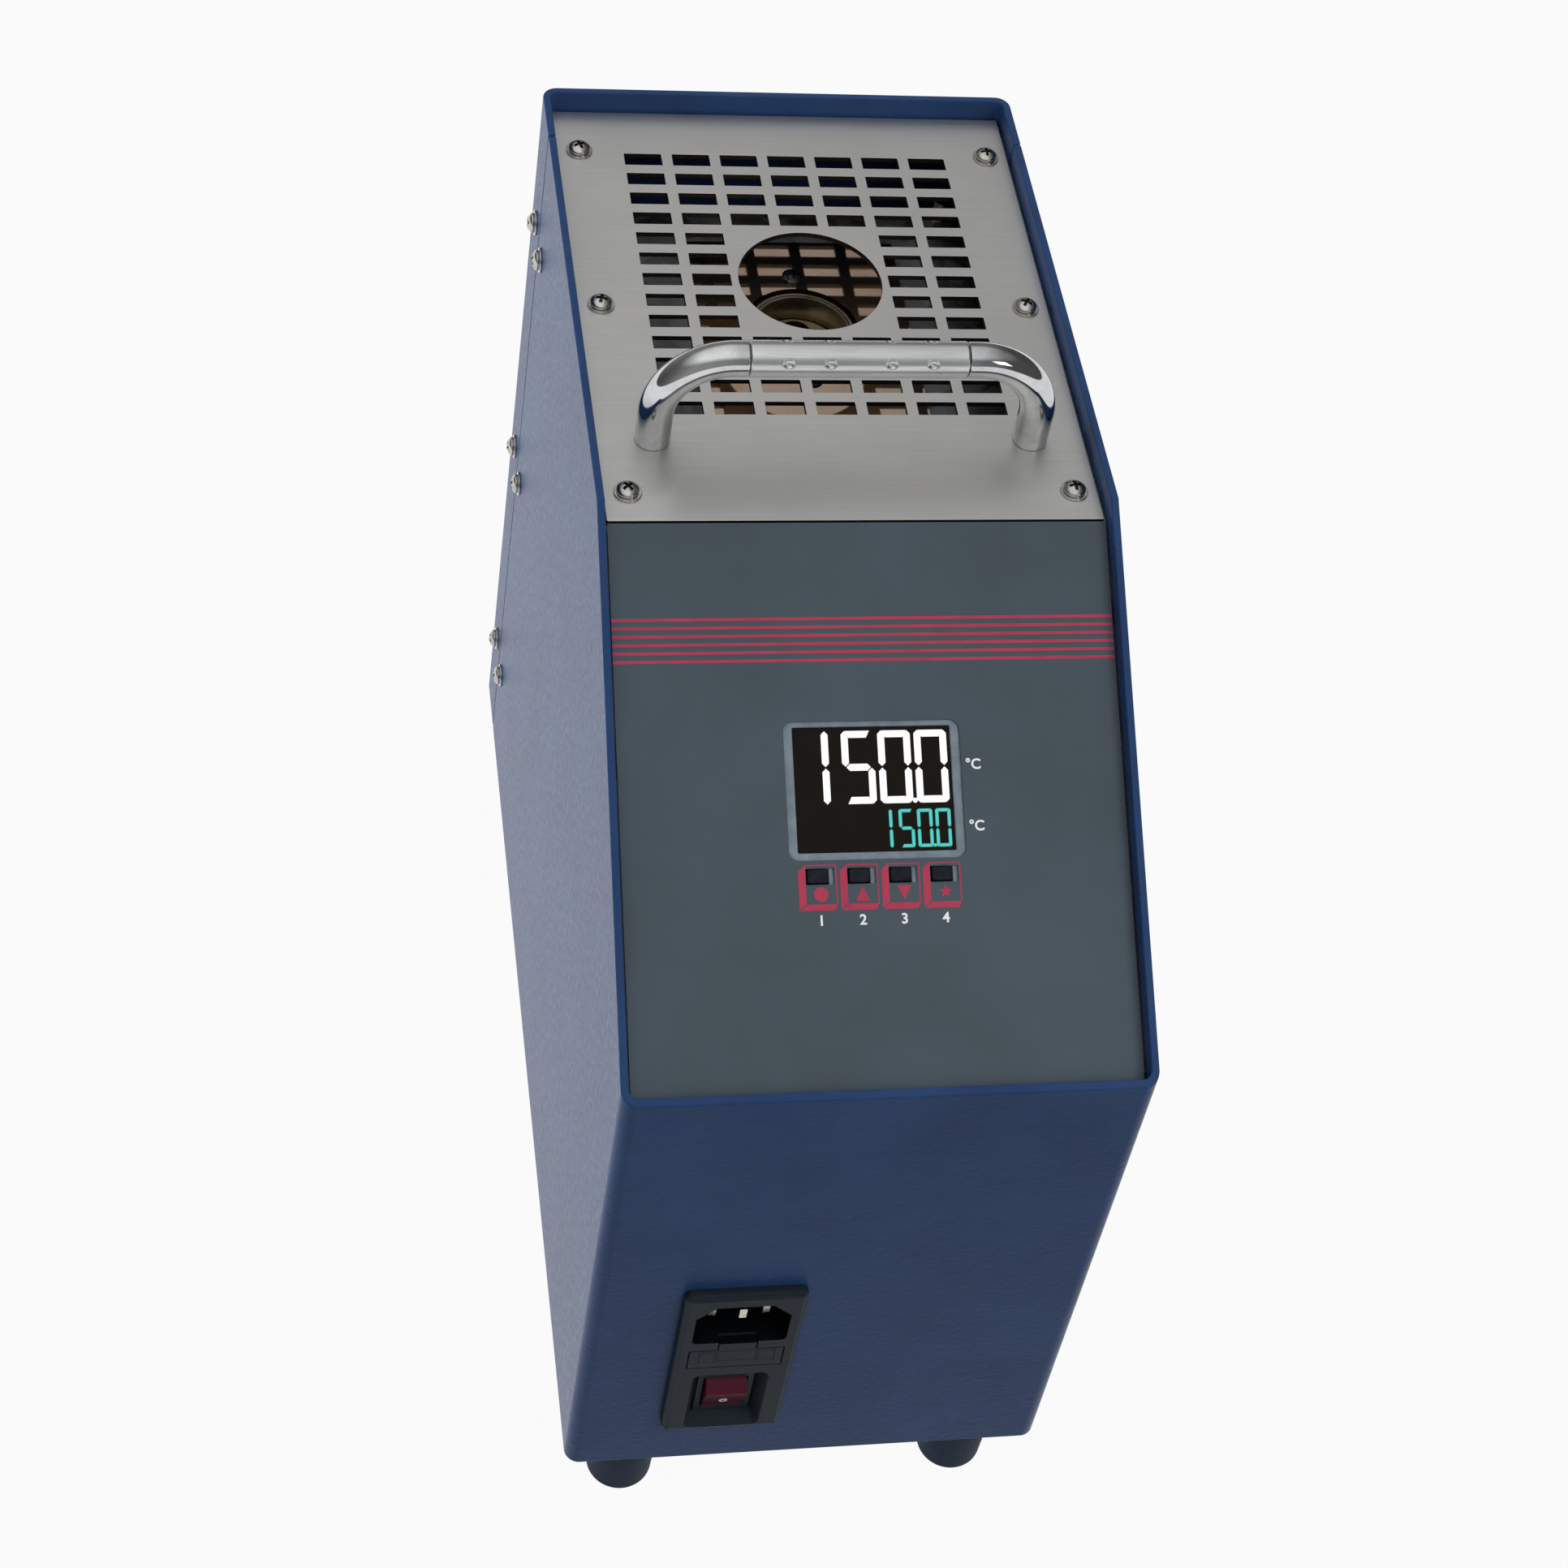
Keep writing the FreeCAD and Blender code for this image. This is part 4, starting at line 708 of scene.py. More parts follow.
def spun(profile: list[tuple[float, float]], steps: int) -> bmesh.types.BMesh:
    """Shape turned about the Z axis.

    Args:
        profile: (radius, height) points in millimetres.
        steps: facets round the axis.

    Returns:
        The closed shape, with its faces outwards.
    """
    shape = bmesh.new()
    points = [shape.verts.new((radius * MM, 0, height * MM)) for radius, height in profile]
    edges = [shape.edges.new(pair) for pair in zip(points, points[1:])]
    bmesh.ops.spin(shape, geom=points + edges, cent=(0, 0, 0), axis=(0, 0, 1), dvec=(0, 0, 0),
                   angle=math.tau, steps=steps, use_merge=True, use_duplicate=False)
    bmesh.ops.remove_doubles(shape, verts=shape.verts, dist=MERGE)
    bmesh.ops.recalc_face_normals(shape, faces=shape.faces)
    return shape


def laid_along_x(shape: bmesh.types.BMesh, middle: Vector) -> None:
    """Lays a shape that was turned about Z along X, with the origin at the given middle in metres."""
    bmesh.ops.rotate(shape, verts=shape.verts, cent=(0, 0, 0), matrix=Matrix.Rotation(math.pi / 2, 3, "Y"))
    bmesh.ops.translate(shape, verts=shape.verts, vec=middle)


def islands(shape: bmesh.types.BMesh) -> list[list[bmesh.types.BMVert]]:
    """Sorts the points of a shape by the solid that they belong to.

    Args:
        shape: shape of several separate solids.

    Returns:
        The points of each solid.
    """
    groups = []
    waiting = set(shape.verts)
    for start in shape.verts:
        if start not in waiting:
            continue
        waiting.remove(start)
        group = [start]
        for point in group:
            for edge in point.link_edges:
                other = edge.other_vert(point)
                if other in waiting:
                    waiting.remove(other)
                    group.append(other)
        groups.append(group)
    return groups


def taken_apart(shape: bmesh.types.BMesh, faces: list[bmesh.types.BMFace]) -> bmesh.types.BMesh:
    """Moves some faces of a shape to a shape of their own.

    Args:
        shape: the shape, which loses them.
        faces: the faces.

    Returns:
        The new shape.
    """
    shape.faces.index_update()
    wanted = {face.index for face in faces}
    other = shape.copy()
    rest = [face for face in other.faces if face.index not in wanted]
    bmesh.ops.delete(other, geom=rest, context="FACES")
    bmesh.ops.delete(shape, geom=faces, context="FACES")
    return other


def span(points: Iterable[Vector]) -> tuple[Vector, Vector]:
    """Finds the box round some points.

    Args:
        points: the points.

    Returns:
        Its lowest and its highest corner.
    """
    places = list(points)
    low = Vector([min(place[axis] for place in places) for axis in range(3)])
    high = Vector([max(place[axis] for place in places) for axis in range(3)])
    return low, high


# Sub-assemblies

@dataclass
class PaintedCase:
    """Bent sheet case: two painted shells on a zinc base.

    Attributes:
        edge: rounding of the painted edges in millimetres.
    """

    edge: float = 0.45

    def build(self) -> None:
        """Softens the painted shells and dresses the sheets inside."""
        for shell in ("front_shell", "rear_cover"):
            soft_copy(shell, CASE, PAINT, self.edge, segments=3)
        dress(ZINC, "base_plate", "left_joint_strip", "right_joint_strip", "left_support_rail",
              "right_support_rail")


@dataclass
class SlottedTop:
    """Slotted stainless top with its screws and washers.

    Attributes:
        edge: rounding of the sheet's punched edges in millimetres.
        screw_edge: rounding of the screws and washers in millimetres.
        screw_turn: how much further each screw was turned than the one before, in degrees.
        recess_reach: how far the cross of a screw reaches from its axis.
        recess_depth: depth of that cross.
    """

    edge: float = 0.12
    screw_edge: float = 0.1
    screw_turn: float = 37.0
    recess_reach: float = 1.7
    recess_depth: float = 1.1

    def build(self) -> None:
        """Softens the sheet and its fasteners."""
        self.sheet()
        soft_copy("case_washers", CASE, NICKEL, self.screw_edge)
        self.screws()

    def sheet(self) -> None:
        """Rounds the sheet's edges and gives the walls of its holes a rough finish darkened as painted shade.
        """
        shape = merged_copy("top_grille")
        soften(shape, self.edge)
        walls = [face for face in shape.faces if abs(face.normal.z) < FACING]
        # Steep walls of the slots and the access hole get the dark finish: painted shade
        add_piece("punched_walls_painted_shade", taken_apart(shape, walls), PUNCHED_SHADE, CASE)
        add_piece("finished_top_grille", shape, STAINLESS, CASE, ["top_grille"])

    def screws(self) -> None:
        """Leaves the cross of each screw at another turn about its long axis, and paints shade into it."""
        shape = merged_copy("case_screws")
        soften(shape, self.screw_edge)
        shaded_recess = []
        for number, screw in enumerate(islands(shape)):
            low, high = span(point.co for point in screw)
            size = high - low
            axis = max(range(3), key=lambda side: size[side])
            turn = Matrix.Rotation(math.radians(number * self.screw_turn), 3, "XYZ"[axis])
            bmesh.ops.rotate(shape, verts=screw, cent=(low + high) / 2, matrix=turn)
            shaded_recess += self.recess(screw, low, high, axis)
        shape.normal_update()
        # The faces of the crosses get a dark finish: painted shade in the recesses
        add_piece("screw_crosses", taken_apart(shape, shaded_recess), RECESS_SHADE, CASE)
        add_piece("finished_case_screws", shape, NICKEL, CASE, ["case_screws"])

    def recess(self, screw: list[bmesh.types.BMVert], low: Vector, high: Vector,
               axis: int) -> list[bmesh.types.BMFace]:
        """Faces of one screw's cross.

        Args:
            screw: the screw's points.
            low: lowest corner of its box.
            high: highest corner of its box.
            axis: number of its long axis.

        Returns:
            The floor and the walls of the cross.
        """
        middle = (low + high) / 2
        inside = (CAD_BOX[0] + CAD_BOX[1]) / 2
        outward = 1 if middle[axis] > inside[axis] else -1
        head = high[axis] if outward > 0 else low[axis]
        found = {}
        for point in screw:
            for face in point.link_faces:
                place = face.calc_center_median()
                depth = (head - place[axis]) * outward
                beside = place - middle
                beside[axis] = 0
                steep = abs(face.normal[axis]) < FACING
                sunk = steep or depth > self.recess_depth / 2 * MM
                if beside.length < self.recess_reach * MM and depth < self.recess_depth * MM and sunk:
                    found[face] = None
        return list(found)


@dataclass
class CarryHandle:
    """Bow handle: two chromed elbows and a satin sleeve with dimples.

    Attributes:
        bend: radius of the elbow's bend at the middle of its tube.
        rim: rounding of the elbow's ends.
        spigot: radius of the peg that the sleeve sits on.
        spigot_reach: length of that peg.
        dimple: radius of the ball that pressed the dimples.
        dimple_depth: depth of a dimple.
        dimple_places: distances of the dimples from the middle.
        dimple_start: angle of the first row over the front, in degrees.
        dimple_rows: rows round the sleeve.
        joint_gap: bare ring between an elbow and the sleeve.
        sleeve_fit: play of the sleeve on the peg.
        stations: rings of points along the sleeve.
        facets: facets round the tube.
    """

    bend: float = 18.0
    rim: float = 0.3
    spigot: float = 3.0
    spigot_reach: float = 8.0
    dimple: float = 1.9
    dimple_depth: float = 0.7
    dimple_places: tuple[float, ...] = (7.6, 18.0)
    dimple_start: float = 26.0
    dimple_rows: int = 4
    joint_gap: float = 0.2
    sleeve_fit: float = 0.2
    stations: int = 218
    facets: int = 64

    def build(self) -> None:
        """Makes the elbows and the sleeve."""
        for side in ("left", "right"):
            self.elbow("handle_elbow_" + side)
        self.sleeve()
        dress(NICKEL, "handle_screws")

    def elbow(self, node: str) -> None:
        """Makes one elbow from its foot to its peg.

        Args:
            node: the elbow's CAD node.
        """
        low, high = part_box(node)
        grip_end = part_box("handle_grip")[1].x
        radius = (high.y - low.y) / 2
        side = 1 if high.x > -low.x else -1
        foot_x = side * (max(high.x, -low.x) - radius)
        middle_y = (low.y + high.y) / 2
        bar_z = high.z - radius
        bend = self.bend * MM
        shape = bmesh.new()
        bmesh.ops.create_circle(shape, segments=self.facets, radius=radius)
        bmesh.ops.translate(shape, verts=shape.verts, vec=(foot_x, middle_y, low.z))
        foot = shape.edges[:]
        top = self.drawn_out(shape, foot, Vector((0, 0, bar_z - bend - low.z)))
        pivot = (foot_x - side * bend, middle_y, bar_z - bend)
        turn = bmesh.ops.spin(shape, geom=top, cent=pivot, axis=(0, -side, 0), dvec=(0, 0, 0),
                              angle=math.pi / 2, steps=self.facets // 2, use_duplicate=False)
        last = [item for item in turn["geom_last"] if isinstance(item, bmesh.types.BMEdge)]
        joint_x = side * (grip_end + self.joint_gap * MM)
        arm = self.drawn_out(shape, last, Vector((joint_x - (foot_x - side * bend), 0, 0)))
        end = bmesh.ops.contextual_create(shape, geom=arm)["faces"]
        bmesh.ops.inset_region(shape, faces=end, thickness=radius - self.spigot * MM)
        peg = bmesh.ops.extrude_face_region(shape, geom=end)
        tip = [item for item in peg["geom"] if isinstance(item, bmesh.types.BMVert)]
        bmesh.ops.delete(shape, geom=end, context="FACES_ONLY")
        bmesh.ops.translate(shape, verts=tip, vec=(-side * self.spigot_reach * MM, 0, 0))
        bmesh.ops.contextual_create(shape, geom=foot)
        bmesh.ops.recalc_face_normals(shape, faces=shape.faces)
        soften(shape, self.rim)
        add_piece("finished_" + node, shape, CHROME, CASE, [node])

    def drawn_out(self, shape: bmesh.types.BMesh, edges: list[bmesh.types.BMEdge],
                  way: Vector) -> list[bmesh.types.BMEdge]:
        """Extrudes a ring of edges.

        Args:
            shape: the shape that they belong to.
            edges: the ring.
            way: how far it goes, in metres.

        Returns:
            The edges of the new ring.
        """
        grown = bmesh.ops.extrude_edge_only(shape, edges=edges)["geom"]
        points = [item for item in grown if isinstance(item, bmesh.types.BMVert)]
        bmesh.ops.translate(shape, verts=points, vec=way)
        return [item for item in grown if isinstance(item, bmesh.types.BMEdge)
                and all(point in points for point in item.verts)]

    def sleeve(self) -> None:
        """Turns the sleeve on a lathe and presses its dimples in."""
        low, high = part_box("handle_grip")
        radius = (high.y - low.y) / 2 / MM
        half = high.x / MM
        bore = self.spigot + self.sleeve_fit
        outside = []
        for station in range(self.stations + 1):
            outside.append((radius, (2 * station / self.stations - 1) * (half - self.rim)))
        profile = [(bore, -half), (radius - self.rim, -half)] + outside
        profile += [(radius - self.rim, half), (bore, half), (bore, -half)]
        shape = spun(profile, 2 * self.facets)
        self.press_dimples(shape, radius)
        laid_along_x(shape, (low + high) / 2)
        add_piece("finished_handle_grip", shape, SATIN, CASE, ["handle_grip"])

    def press_dimples(self, shape: bmesh.types.BMesh, radius: float) -> None:
        """Presses a ball into the sleeve at each dimple.

        Args:
            shape: the sleeve, still upright.
            radius: its outer radius in millimetres.
        """
        for row in range(self.dimple_rows):
            turn = math.radians(self.dimple_start + 360 * row / self.dimple_rows)
            out = Vector((-math.sin(turn), -math.cos(turn), 0))
            for place in self.dimple_places:
                for side in (-1, 1):
                    ball = out * (radius + self.dimple - self.dimple_depth) * MM
                    ball.z = side * place * MM
                    self.press(shape, ball, out)

    def press(self, shape: bmesh.types.BMesh, ball: Vector, out: Vector) -> None:
        """Moves the points of the sleeve that lie inside a ball to the ball's surface.

        Args:
            shape: the sleeve.
            ball: the ball's middle.
            out: direction from the sleeve's axis to the ball.
        """
        for point in shape.verts:
            away = point.co - ball
            along = away.dot(out)
            beside = (away - along * out).length
            if along < 0 and beside < self.dimple * MM:
                depth = math.sqrt((self.dimple * MM) ** 2 - beside ** 2)
                if depth > -along > 0:
                    point.co += out * (-along - depth)


@dataclass(frozen=True)
class SlopeFrame:
    """Frame of the sloped panel: x across, y up the slope from the film's lower edge, z out of the film.

    Attributes:
        origin: middle of the film's lower edge, in metres.
        up: direction up the slope.
        out: direction out of the film.
    """

    origin: Vector
    up: Vector
    out: Vector

    @classmethod
    def of_film(cls, film: str, key_joint: str) -> "SlopeFrame":
        """Works the frame out from the film's mesh and the way that a key is pressed.

        Args:
            film: the film's CAD node.
            key_joint: joint of a key.

        Returns:
            The frame.
        """
        axis = next(joint["axis"] for joint in frame["joints"] if joint["name"] == key_joint)
        out = -Vector(axis).normalized()
        up = out.cross(X_AXIS)
        points = [point.co for point in frame["nodes"][film].data.vertices]
        edge = min(point.dot(up) for point in points)
        face = max(point.dot(out) for point in points)
        return cls(up * edge + out * face, up, out)

    def matrix(self) -> Matrix:
        """Turns a place in this frame into a place in the object's frame."""
        turn = Matrix((X_AXIS, self.up, self.out)).transposed()
        return Matrix.Translation(self.origin) @ turn.to_4x4()

    def extent(self, node: str) -> tuple[Vector, Vector]:
        """Lowest and highest corner of a CAD node in this frame, in millimetres."""
        inverse = self.matrix().inverted()
        return span(inverse @ point.co / MM for point in frame["nodes"][node].data.vertices)


class Segment(Enum):
    """Bars of a seven-segment digit."""

    TOP = "a"
    UPPER_RIGHT = "b"
    LOWER_RIGHT = "c"
    BOTTOM = "d"
    LOWER_LEFT = "e"
    UPPER_LEFT = "f"
    MIDDLE = "g"


DIGIT_BARS = {"0": "abcdef", "1": "bc", "5": "acdfg"}


@dataclass(frozen=True)
class DigitRow:
    """Row of lit digits, set from the right.

    Attributes:
        text: what the row shows.
        height: height of a digit.
        width: width of a digit.
        pitch: distance from digit to digit.
        stroke: width of a bar.
        gap: dark gap between bars.
        top: distance of the row below the top of the window.
        margin: distance of the last digit from the right of the window.
        dot: radius of the decimal point.
        one_shift: how far a one stands left of the bars that it uses.
        rim: share of a bar's width that its rim takes.
        dot_facets: corners of the decimal point.
    """

    text: str
    height: float
    width: float
    pitch: float
    stroke: float
    gap: float
    top: float
    margin: float
    dot: float
    one_shift: float
    rim: float = 0.2
    dot_facets: int = 20

    def bar(self, segment: Segment, trim: float) -> list[tuple[float, float]]:
        """Outline of one bar, drawn from the digit's lower left corner.

        Args:
            segment: which bar.
            trim: how far the outline is drawn in from the bar's edge.

        Returns:
            Its corners, anticlockwise.
        """
        wide, half, tall = self.width, self.height / 2, self.height
        inset = self.gap / 2 + trim
        thick = self.stroke - trim
        nose = self.stroke / 2
        if segment in (Segment.TOP, Segment.BOTTOM):
            start = nose + inset
            points = [(start, trim), (wide - start, trim), (wide - thick - start + nose, thick),
                      (thick + start - nose, thick)]
            if segment is Segment.TOP:
                points = [(x, tall - y) for x, y in points][::-1]
            return points
        if segment is Segment.MIDDLE:
            reach = nose - trim
            return [(nose + inset, half), (nose + inset + reach, half - reach),
                    (wide - nose - inset - reach, half - reach), (wide - nose - inset, half),
                    (wide - nose - inset - reach, half + reach), (nose + inset + reach, half + reach)]
        points = [(nose - trim / 2, trim), (thick, nose + trim), (thick, half - nose - inset),
                  (nose, half - inset), (trim, half - nose - inset), (trim, nose + trim)]
        if segment in (Segment.UPPER_LEFT, Segment.UPPER_RIGHT):
            points = [(x, tall - y) for x, y in points][::-1]
        if segment in (Segment.LOWER_RIGHT, Segment.UPPER_RIGHT):
            points = [(wide - x, y) for x, y in points][::-1]
        return points

    def draw(self, shape: bmesh.types.BMesh, right: float, top: float, low: float, high: float,
             trim: float = 0.0) -> None:
        """Adds the row's lit bars to a shape.

        Args:
            shape: shape that takes the bars.
            right: right edge of the window.
            top: top edge of the window.
            low: height of the bars' underside.
            high: height of the bars' face.
            trim: how far each bar is drawn in from its edge.
        """
        base = top - self.top - self.height
        left = right - self.margin - self.width
        for figure in reversed(self.text):
            if figure == ".":
                dot = left + self.pitch - (self.pitch - self.width) / 2
                radius = self.dot - trim / 2
                outline = ring_points(self.dot_facets, radius)
                lifted(shape, moved(outline, dot, base + self.dot), low, high)
                continue
            start = left - self.one_shift if figure == "1" else left
            for bar in DIGIT_BARS[figure]:
                lifted(shape, moved(self.bar(Segment(bar), trim), start, base), low, high)
            left -= self.pitch


DISC_FACETS = 48
STAR_TIPS = 5
STAR_START = 90.0
STAR_NOTCH = 0.4


class KeyMark(Enum):
    """Mark printed under each key."""

    DISC = "key_disc"
    UP = "key_up"
    DOWN = "key_down"
    STAR = "key_star"

    def outline(self, reach: float) -> list[tuple[float, float]]:
        """Draws the mark about its middle.

        Args:
            reach: how far it reaches from there.

        Returns:
            Its corners, anticlockwise.
        """
        if self is KeyMark.DISC:
            return ring_points(DISC_FACETS, reach)
        if self is KeyMark.STAR:
            tips = ring_points(STAR_TIPS, reach, STAR_START)
            notches = ring_points(STAR_TIPS, reach * STAR_NOTCH, STAR_START + 180 / STAR_TIPS)
            return [point for pair in zip(tips, notches) for point in pair]
        upright = 1 if self is KeyMark.UP else -1
        points = [(-reach, -reach * upright), (reach, -reach * upright), (0, reach * upright)]
        return points if upright > 0 else points[::-1]


@dataclass
class ControlPanel:
    """Sloped panel: printed film, display with its bezel, and four keys.

    Attributes:
        ink: thickness of the printed ink.
        stripe_count: stripes across the panel.
        stripe_pitch: distance from stripe to stripe.
        stripe_width: width of a stripe.
        stripe_top: middle of the first stripe, below the film's upper edge.
        frame_left: left edge of a key's printed frame, from the middle of the key.
        frame_right: right edge of that frame.
        frame_top: its top edge over the middle of the key.
        frame_bottom: its lower edge.
        frame_line: width of its thin lines.
        frame_shift: how far its drawn depth goes left and down.
        frame_mitre: bare line between its two thick sides.
        mark_place: middle of the key's mark, from the middle of the key.
        mark_reach: half size of the mark.
        numeral_place: middle of the key's numeral, from the middle of the key.
        numeral_size: type size of the numerals and units.
        numeral_bold: how much their strokes are thickened, as a share of that size.
        unit_gap: distance of the units from the window.
        edge: rounding of the bezel's edges.
        main_row: large digits, which show the block's temperature.
        set_row: small digits, which show the wanted temperature.
        slope: frame of the panel.
    """

    ink: float = 0.04
    stripe_count: int = 6
    stripe_pitch: float = 2.06
    stripe_width: float = 0.75
    stripe_top: float = 24.0
    frame_left: float = -2.9
    frame_right: float = 4.7
    frame_top: float = 2.85
    frame_bottom: float = -6.7
    frame_line: float = 0.3
    frame_shift: tuple[float, float] = (-1.75, -1.5)
    frame_mitre: float = 0.2
    mark_place: tuple[float, float] = (0.75, -4.3)
    mark_reach: float = 1.75
    numeral_place: tuple[float, float] = (0.5, -10.7)
    numeral_size: float = 3.5
    numeral_bold: float = 0.025
    unit_gap: float = 5.2
    edge: float = 0.35
    main_row: DigitRow = DigitRow("150.0", height=17.9, width=8.1, pitch=9.0, stroke=1.72, gap=0.36,
                                  top=0.95, margin=0.85, dot=0.62, one_shift=2.3)
    set_row: DigitRow = DigitRow("150.0", height=9.4, width=3.85, pitch=4.54, stroke=0.84, gap=0.24,
                                 top=20.3, margin=0.85, dot=0.42, one_shift=0.85)
    slope: SlopeFrame = field(default_factory=lambda: SlopeFrame.of_film("panel_overlay", "disc_key_press"))

    def build(self) -> None:
        """Dresses the panel's nodes and adds its prints and digits."""
        dress(FILM, "panel_overlay")
        dress(SCREEN, "display_window")
        dress(KEY_RUBBER, *[mark.value for mark in KeyMark])
        dress(PLATE, "panel_plate")
        dress(NICKEL, "panel_screws")
        dress(HOUSING, "controller_housing", "controller_clamp")
        dress(BOARD, "controller_board")
        soft_copy("controller_bezel", CASE, BEZEL, self.edge)
        self.crimson_print()
        self.white_print()
        self.digits()

    def place(self, name: str, shape: bmesh.types.BMesh, finish: Finish) -> None:
        """Puts a shape drawn in the frame of the slope on the panel."""
        bmesh.ops.transform(shape, matrix=self.slope.matrix(), verts=shape.verts)
        add_piece(name, shape, finish, CASE)

    def key_middle(self, mark: KeyMark) -> tuple[float, float]:
        """Middle of a key on the panel."""
        low, high = self.slope.extent(mark.value)
        return (low.x + high.x) / 2, (low.y + high.y) / 2

    def crimson_print(self) -> None:
        """Prints the stripes, the frames of the keys and their marks."""
        shape = bmesh.new()
        low, high = self.slope.extent("panel_overlay")
        half = self.stripe_width / 2
        for stripe in range(self.stripe_count):
            middle = high.y - self.stripe_top - stripe * self.stripe_pitch
            lifted(shape, [(low.x, middle - half), (high.x, middle - half), (high.x, middle + half),
                           (low.x, middle + half)], 0, self.ink)
        for mark in KeyMark:
            x, y = self.key_middle(mark)
            for outline in self.key_frame():
                lifted(shape, moved(outline, x, y), 0, self.ink)
            mark_x, mark_y = self.mark_place
            lifted(shape, moved(mark.outline(self.mark_reach), x + mark_x, y + mark_y), 0, self.ink)
        self.place("crimson_panel_print", shape, CRIMSON_INK)

    def key_frame(self) -> list[list[tuple[float, float]]]:
        """Draws a key's frame like a box seen from the upper right.

        Returns:
            The outlines of its four sides, about the middle of the key.
        """
        left, right, top, bottom = self.frame_left, self.frame_right, self.frame_top, self.frame_bottom
        line, mitre = self.frame_line, self.frame_mitre
        shift_x, shift_y = self.frame_shift
        over = [(left, top - line), (right, top - line), (right, top), (left, top)]
        beside = [(right - line, bottom), (right, bottom), (right, top - line), (right - line, top - line)]
        flank = [(left + shift_x, bottom + shift_y + mitre), (left, bottom + mitre), (left, top),
                 (left + shift_x, top + shift_y)]
        under = [(left + shift_x + mitre, bottom + shift_y), (right + shift_x / 2, bottom + shift_y),
                 (right, bottom), (left + mitre, bottom)]
        return [over, beside, flank, under]

    def white_print(self) -> None:
        """Prints a numeral under each key and a unit beside each row of the display."""
        shape = bmesh.new()
        for number, mark in enumerate(KeyMark, start=1):
            x, y = self.key_middle(mark)
            self.letter(shape, str(number), x + self.numeral_place[0], y + self.numeral_place[1])
        high = self.slope.extent("display_window")[1]
        for row in (self.main_row, self.set_row):
            self.letter(shape, "\N{DEGREE SIGN}C", high.x + self.unit_gap, high.y - row.top - row.height / 2)
        self.place("white_panel_print", shape, WHITE_INK)

    def letter(self, shape: bmesh.types.BMesh, text: str, x: float, y: float) -> None:
        """Adds lettering to a shape.

        Args:
            shape: shape that takes the letters.
            text: what they say.
            x: where their middle is across the panel.
            y: where it is up the slope.
        """
        curve = bpy.data.curves.new("lettering", "FONT")
        curve.body = text
        curve.size = self.numeral_size * MM
        curve.align_x = "CENTER"
        curve.align_y = "CENTER"
        curve.extrude = self.ink * MM / 2
        curve.offset = self.numeral_bold * self.numeral_size * MM
        holder = bpy.data.objects.new("lettering", curve)
        mesh = bpy.data.meshes.new_from_object(holder)
        mesh.transform(Matrix.Translation((x * MM, y * MM, self.ink * MM / 2)))
        mesh.materials.clear()
        shape.from_mesh(mesh)
        bpy.data.objects.remove(holder)
        bpy.data.curves.remove(curve)
        bpy.data.meshes.remove(mesh)

    def digits(self) -> None:
        """Lights the two rows of the display."""
        high = self.slope.extent("display_window")[1]
        face = high.z
        main = bmesh.new()
        self.main_row.draw(main, high.x, high.y, face, face + self.ink)
        self.place("main_display_digits", main, WHITE_LIGHT)
        rim = bmesh.new()
        self.set_row.draw(rim, high.x, high.y, face, face + self.ink)
        self.place("set_display_rims", rim, TEAL_RIM)
        core = bmesh.new()
        trim = self.set_row.stroke * self.set_row.rim
        self.set_row.draw(core, high.x, high.y, face, face + 2 * self.ink, trim)
        self.place("set_display_digits", core, TEAL_LIGHT)


